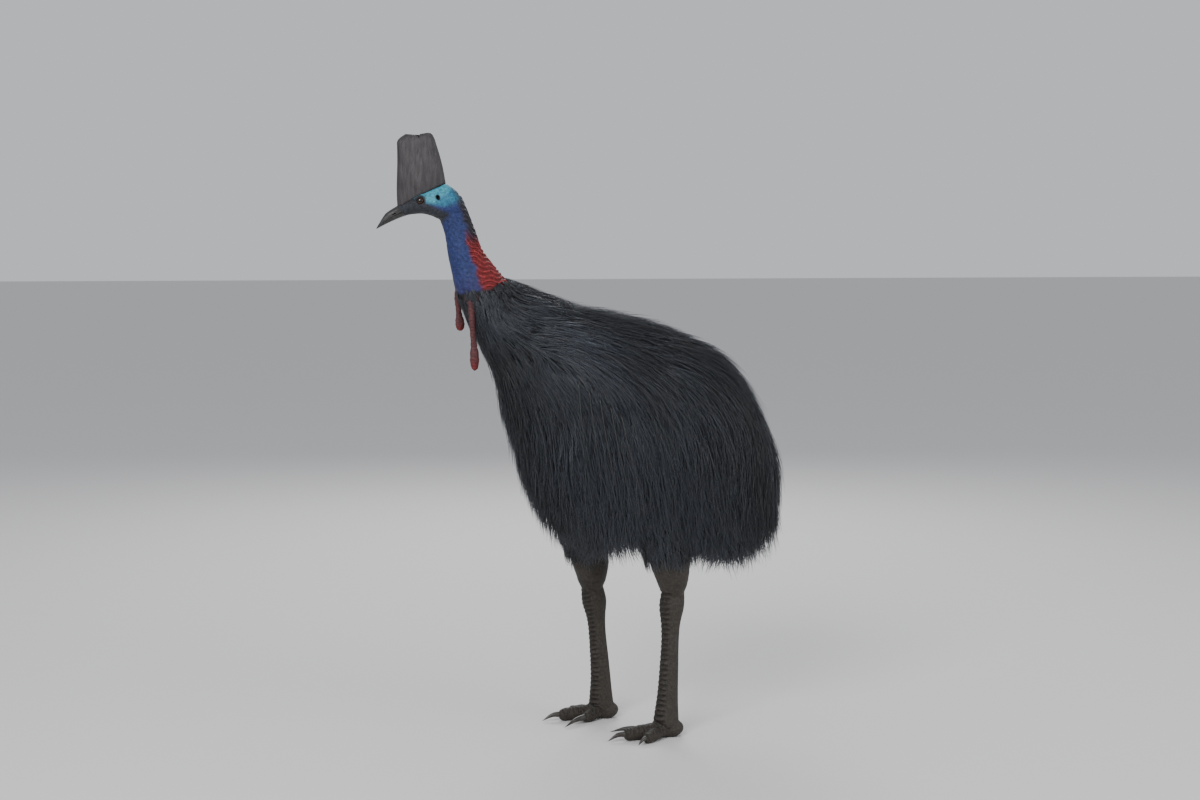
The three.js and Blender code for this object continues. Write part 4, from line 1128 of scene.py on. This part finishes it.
def blades(lines, outs, widths, spread, curl, tints, patches):
    """The points, faces, colours and map places of the tufts' blades, which are thin three-sided spikes."""
    tufts, count, _ = lines.shape
    share = np.linspace(0, 1, count)
    tangent = unit(np.gradient(lines, axis=1))
    sideways = unit(np.cross(tangent, outs[:, None, :]))
    upward = np.cross(sideways, tangent)
    all_points = []
    all_colours = []
    all_maps = []
    for blade in range(BLADES_A_TUFT):
        fan = rng.normal(0, 1, (tufts, 1, 1)) * spread[:, None, None]
        rise = rng.normal(0, 0.4, (tufts, 1, 1)) * spread[:, None, None]
        bend = rng.normal(0, 1, (tufts, 1, 1)) * curl[:, None, None]
        long = rng.uniform(0.72, 1.0, (tufts, 1, 1))
        s = share[None, :, None]
        root = lines[:, :1, :]
        middle = root + (lines - root) * long
        middle = middle + sideways * (fan * (0.12 + s) + bend * s**2.2) + upward * rise * s**1.5
        width = widths[:, None, None] * rng.uniform(0.7, 1.25, (tufts, 1, 1))
        width = width * (1 - (1 - BLADE_TIP_WIDTH) * s**1.6)
        corners = [
            middle + sideways * width * 0.5 - upward * width * 0.12,
            middle - sideways * width * 0.5 - upward * width * 0.12,
            middle + upward * width * 0.2,
        ]
        rings = np.stack(corners, axis=2)[:, :-1]
        tip = middle[:, -1:, :]
        all_points.append(np.concatenate([rings.reshape(tufts, -1, 3), tip], axis=1))
        tint = tints * rng.uniform(0.7, 1.35, (tufts, 1))
        along = np.append(np.repeat(share[:-1], 3), 1.0)
        # Each blade is darker towards its root, painted shade where the blades lie under each other, and
        # lighter towards its tip
        all_colours.append(tint[:, None, :] * (0.55 + 0.75 * along)[None, :, None])
        across = np.append(np.tile([0.0, 1.0, 0.5], count - 1), 0.5)
        u = patches[:, None, 0] + (across[None, :] + blade) / BLADES_A_TUFT * 0.003
        v = patches[:, None, 1] + along[None, :] * 0.003
        all_maps.append(np.stack([u, v], axis=2))
    last = 3 * (count - 2)
    quads = []
    for ring in range(0, last, 3):
        for corner in range(3):
            following = (corner + 1) % 3
            quads.append((ring + corner, ring + following, ring + 3 + following, ring + 3 + corner))
    triangles = [(2, 1, 0)]
    for corner in range(3):
        triangles.append((last + corner, last + (corner + 1) % 3, last + 3))
    starts = np.arange(tufts * BLADES_A_TUFT)[:, None, None] * (last + 4)
    quads = (np.array(quads)[None] + starts).reshape(-1, 4)
    triangles = (np.array(triangles)[None] + starts).reshape(-1, 3)
    points = np.stack(all_points, axis=1).reshape(-1, 3)
    tints = np.stack(all_colours, axis=1).reshape(-1, 3)
    maps = np.stack(all_maps, axis=1).reshape(-1, 2)
    return points, quads, triangles, tints, maps


coat_finish, nodes, links, shader = new_material("Black plumes", 0.46)
shader.inputs["Specular IOR Level"].default_value = 0.55
shader.inputs["Sheen Weight"].default_value = 0.18
shader.inputs["Sheen Roughness"].default_value = 0.4
shader.inputs["Sheen Tint"].default_value = (0.55, 0.65, 0.85, 1)
# The coat's colours hold painted shade at the blade roots and a painted sheen highlight
coat_marks_and_sheen = nodes.new("ShaderNodeAttribute")
coat_marks_and_sheen.attribute_name = "Markings and painted light"
links.new(coat_marks_and_sheen.outputs["Color"], shader.inputs["Base Color"])


def coat_piece(name, *tufts):
    """One coat piece: a mesh of blades with its colours and its map."""
    points, quads, triangles, colours, maps = blades(*tufts)
    mesh = bpy.data.meshes.new(name)
    mesh.vertices.add(len(points))
    mesh.vertices.foreach_set("co", (points + np.array(BIRD_AT)).astype(np.float32).ravel())
    corners = np.concatenate([quads.ravel(), triangles.ravel()]).astype(np.int32)
    mesh.loops.add(len(corners))
    mesh.loops.foreach_set("vertex_index", corners)
    starts = np.concatenate([np.arange(len(quads)) * 4, quads.size + np.arange(len(triangles)) * 3])
    mesh.polygons.add(len(starts))
    mesh.polygons.foreach_set("loop_start", starts.astype(np.int32))
    mesh.polygons.foreach_set("use_smooth", [True] * len(starts))
    mesh.update(calc_edges=True)
    mesh.validate()
    layer = mesh.uv_layers.new(name="OFBake")
    layer.uv.foreach_set("vector", maps[corners].astype(np.float32).ravel())
    set_point_colours(mesh, colours)
    mesh.materials.append(coat_finish)
    piece = bpy.data.objects.new(name, mesh)
    bpy.context.collection.objects.link(piece)
    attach(piece, "root")


def uneven(colour, count):
    """The colour for each of a number of tufts, some darker and some lighter."""
    return np.tile(colour, (count, 1)) * rng.uniform(0.7, 1.4, (count, 1))


def on_ball(rise, turn):
    """Places on a ball, by the angle from its side and the turn round it."""
    return np.stack([np.sin(rise) * np.cos(turn), np.cos(rise), np.sin(rise) * np.sin(turn)], axis=-1)


# Roots are spread evenly over the body's skin, and closer round the whorl, but not inside the neck's
TURNS = 240
RISES = 60
turn_grid, rise_grid = np.meshgrid(
    np.linspace(-np.pi, np.pi, TURNS, endpoint=False), np.linspace(0.03, np.pi / 2, RISES), indexing="ij",
)
grid = on_ball(rise_grid, turn_grid).reshape(-1, 3)
grid = onto_body(BODY_MIDDLE + grid * 0.2).reshape(TURNS, RISES, 3)
cell_area = np.linalg.norm(np.cross(np.gradient(grid, axis=0), np.gradient(grid, axis=1)), axis=2)
whorl_gap = np.linalg.norm((grid - onto_body(WHORL[None])) * [1, 0, 1], axis=2)
cell_area = cell_area * (1 + 2.5 * np.exp(-((whorl_gap / 0.035) ** 2)))
chance = (cell_area / cell_area.sum()).ravel()
tries = int(BODY_TUFTS * 1.12)
picked = rng.choice(chance.size, tries, p=chance)
turn = turn_grid.ravel()[picked] + rng.uniform(-0.5, 0.5, tries) * 2 * np.pi / TURNS
rise = rise_grid.ravel()[picked] + rng.uniform(-0.5, 0.5, tries) * np.pi / 2 / (RISES - 1)
side = rng.choice([-1, 1], tries)
ball = on_ball(rise, turn)
ball[:, 1] = side * np.abs(ball[:, 1])
roots = onto_body(BODY_MIDDLE + ball * 0.2)
sample, _, gap = nearest(roots, neck_line)
in_neck = (gap < 0.050) & (sample > 12)
roots, turn, rise, side = (values[~in_neck] for values in (roots, turn, rise, side))
count = len(roots)
patches = 0.5 + (0.46 * rise / (np.pi / 2))[:, None] * np.stack([np.cos(turn), np.sin(turn)], axis=1)

neckward = smoothstep(-0.18, -0.40, roots[:, 0]) * smoothstep(0.95, 1.12, roots[:, 2])
rumpward = smoothstep(0.05, 0.34, roots[:, 0])
hemward = smoothstep(0.78, 0.52, roots[:, 2])


def by_place(plain, at_neck, at_rump, at_hem):
    """A measure of each tuft, by where its root is."""
    return plain + at_neck * neckward + at_rump * rumpward + at_hem * hemward


lengths = by_place(*PLUME_LENGTH) * rng.uniform(0.82, 1.15, count)
stray = rng.uniform(0, 1, count) < STRAY_SHARE
hem_height = HEM_AT + LEG_GAP_RISE * np.exp(-(((roots[:, 0] - LEG_GAP_AT) / LEG_GAP_REACH) ** 2))
hem_height = hem_height + RUMP_HEM_RISE * smoothstep(0.26, 0.38, roots[:, 0])
room = (roots[:, 2] - hem_height) * rng.uniform(0.78, 1.12, count) + 0.022 * stray
lengths = np.clip(lengths, 0.03, np.maximum(room, 0.05))
lifts = COAT_DEPTH * rng.uniform(0.45, 0.98, count) * (1 - 0.55 * neckward)
outs = steepest(body_level, roots)
# Tufts round the near shoulder's whorl are lightened: a painted sheen highlight
sheen_gap = np.linalg.norm(roots - PAINTED_SHEEN_AT, axis=1)
tints = uneven(PLUME_BLACK, count) + PAINTED_SHEEN * np.exp(-((sheen_gap / PAINTED_SHEEN_REACH) ** 2))[:, None]
brownish = rng.uniform(0, 1, count) < BROWN_SHARE
tints[brownish] = tints[brownish] * [1.5, 1.2, 1.0]
body_coat = (
    follow_skin(roots - outs * 0.004, lengths, lifts),
    outs,
    by_place(*BLADE_WIDTH),
    by_place(*BLADE_SPREAD),
    by_place(*BLADE_CURL),
    tints,
    patches,
)
for side_name, side_sign in (("left", -1), ("right", 1)):
    of_side = np.flatnonzero(side == side_sign)
    of_side = of_side[np.argsort(roots[of_side, 0])]
    for group_name, group in zip(("breast", "shoulder", "flank", "rump"), np.array_split(of_side, 4)):
        coat_piece("coat_" + group_name + "_" + side_name, *(values[group] for values in body_coat))

# Plumes of the thighs, short and close, down to just over the heel joint
THIGH_TUFTS = 420
THIGH_BLACK = (0.0115, 0.0120, 0.0140)
for side_name, leg in LEGS.items():
    thigh_line = curve(leg["thigh"], 60)
    share = rng.uniform(0.10, 0.56, THIGH_TUFTS)
    turn = rng.uniform(-np.pi, np.pi, THIGH_TUFTS)
    sample = (share * 59).astype(int)
    radius = between(THIGH_PLACES, THIGH_RADIUS, share)
    way = unit(np.gradient(thigh_line, axis=0))[sample]
    out = np.stack([np.cos(turn), np.sin(turn), np.zeros(THIGH_TUFTS)], axis=1)
    out = unit(out - way * (out * way).sum(axis=1)[:, None])
    root = thigh_line[sample] + out * (radius - 0.003)[:, None]
    length = rng.uniform(0.050, 0.080, THIGH_TUFTS) * (1.15 - 0.45 * share)
    steps = np.linspace(0, 1, BLADE_POINTS)[None, :, None]
    hang = unit(way * 0.55 + DOWN * 0.45) * length[:, None]
    inward = -out * (radius * 0.28)[:, None]
    thigh_lines = root[:, None, :] + hang[:, None, :] * steps
    thigh_lines = thigh_lines + out[:, None, :] * 0.016 * np.sin(steps * math.pi * 0.5)
    coat_piece(
        "coat_thigh_" + side_name,
        thigh_lines + inward[:, None, :] * steps**2,
        out,
        np.full(THIGH_TUFTS, 0.0024),
        np.full(THIGH_TUFTS, 0.006),
        np.full(THIGH_TUFTS, 0.007),
        uneven(THIGH_BLACK, THIGH_TUFTS),
        np.stack([0.04 + 0.92 * (turn + np.pi) / (2 * np.pi), 0.04 + 0.92 * share], axis=1),
    )

# The collar: short plumes on the root of the neck, which shorten to where its bare skin starts
COLLAR_TUFTS = 1200
COLLAR_BLACK = (0.0115, 0.0125, 0.0155)
tries = COLLAR_TUFTS * 4
picked = rng.integers(0, 60, tries)
turn = rng.uniform(-np.pi, np.pi, tries)
share = picked / (len(neck_line) - 1)
ahead = -backward[picked] * np.cos(turn)[:, None]
aside = SIDEWAYS * np.sin(turn)[:, None]
half_depth = between(NECK_PLACES, NECK_HALF_DEPTH, share)[:, None]
half_width = between(NECK_PLACES, NECK_HALF_WIDTH, share)[:, None]
root = neck_line[picked] + ahead * half_depth + aside * half_width
below_edge = 0.006 * np.sin(turn * 5) - (root - COLLAR_AT) @ COLLAR_UP
kept = np.flatnonzero((below_edge > 0) & (body_level(root) > 0.96))[:COLLAR_TUFTS]
root, out, turn, share, below_edge = (v[kept] for v in (root, ahead + aside, turn, share, below_edge))
count = len(kept)
farther = smoothstep(0, 0.06, below_edge)
length = rng.uniform(0.8, 1.2, count) * (0.035 + 0.055 * farther)
lift = rng.uniform(0.3, 1.0, count) * (0.006 + 0.014 * farther)
coat_piece(
    "coat_collar",
    follow_skin(root - out * 0.002, length, lift),
    out,
    np.full(count, 0.0021),
    np.full(count, 0.004),
    np.full(count, 0.004),
    uneven(COLLAR_BLACK, count),
    np.stack([0.04 + 0.92 * (turn + np.pi) / (2 * np.pi), 0.04 + 0.92 * share], axis=1),
)


# Quills
# Five bare black shafts on each wing, like thick bristles, which curve down over the flank.
# Each is a row of shrinking rings.
QUILL_COUNT = 5
QUILL_RADIUS = 0.0019
QUILL_TIP_WIDTH = 0.25
QUILL_CLEAR = 0.020
QUILL_BOW = 0.034
QUILL_LOWEST_HOLD = 0.740
# For the first quill, and what is added to that for the last one
QUILL_ROOT_X = (-0.232, 0.105)
QUILL_ROOT_Z = (0.958, -0.100)
QUILL_SWEEP = (0.018, 0.030)
QUILL_DROP = (0.290, -0.040)

quill_finish, nodes, links, shader = new_material("Quill horn", 0.3)
shader.inputs["Base Color"].default_value = (0.008, 0.008, 0.009, 1)
for side_name, side in (("left", -1), ("right", 1)):
    quill_shape = bmesh.new()
    for share in np.linspace(0, 1, QUILL_COUNT):
        root_x, root_z, sweep, drop = (
            first + more * share for first, more in (QUILL_ROOT_X, QUILL_ROOT_Z, QUILL_SWEEP, QUILL_DROP)
        )
        points = []
        for s in (0, 0.33, 0.66, 1):
            x = root_x + sweep * s**1.4
            z = root_z - drop * s
            foot = onto_body(np.array([[x, side * 0.2, max(z, QUILL_LOWEST_HOLD)]]))
            out = steepest(body_level, foot)[0]
            point = foot[0] + out * (QUILL_CLEAR + QUILL_BOW * math.sin(s * math.pi / 2))
            points.append((x, point[1], min(z, point[2])))
        quill_line = curve(points, 20)
        quill_radius = QUILL_RADIUS * (1 - (1 - QUILL_TIP_WIDTH) * np.linspace(0, 1, 20))
        loft(quill_shape, around(quill_line, np.array([1, 0, 0]), quill_radius, quill_radius, 8))
    quills = mesh_object("quills_" + side_name, quill_shape)
    seated(quills, BIRD_IN_FRAME, quill_finish)
    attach(quills, "root")
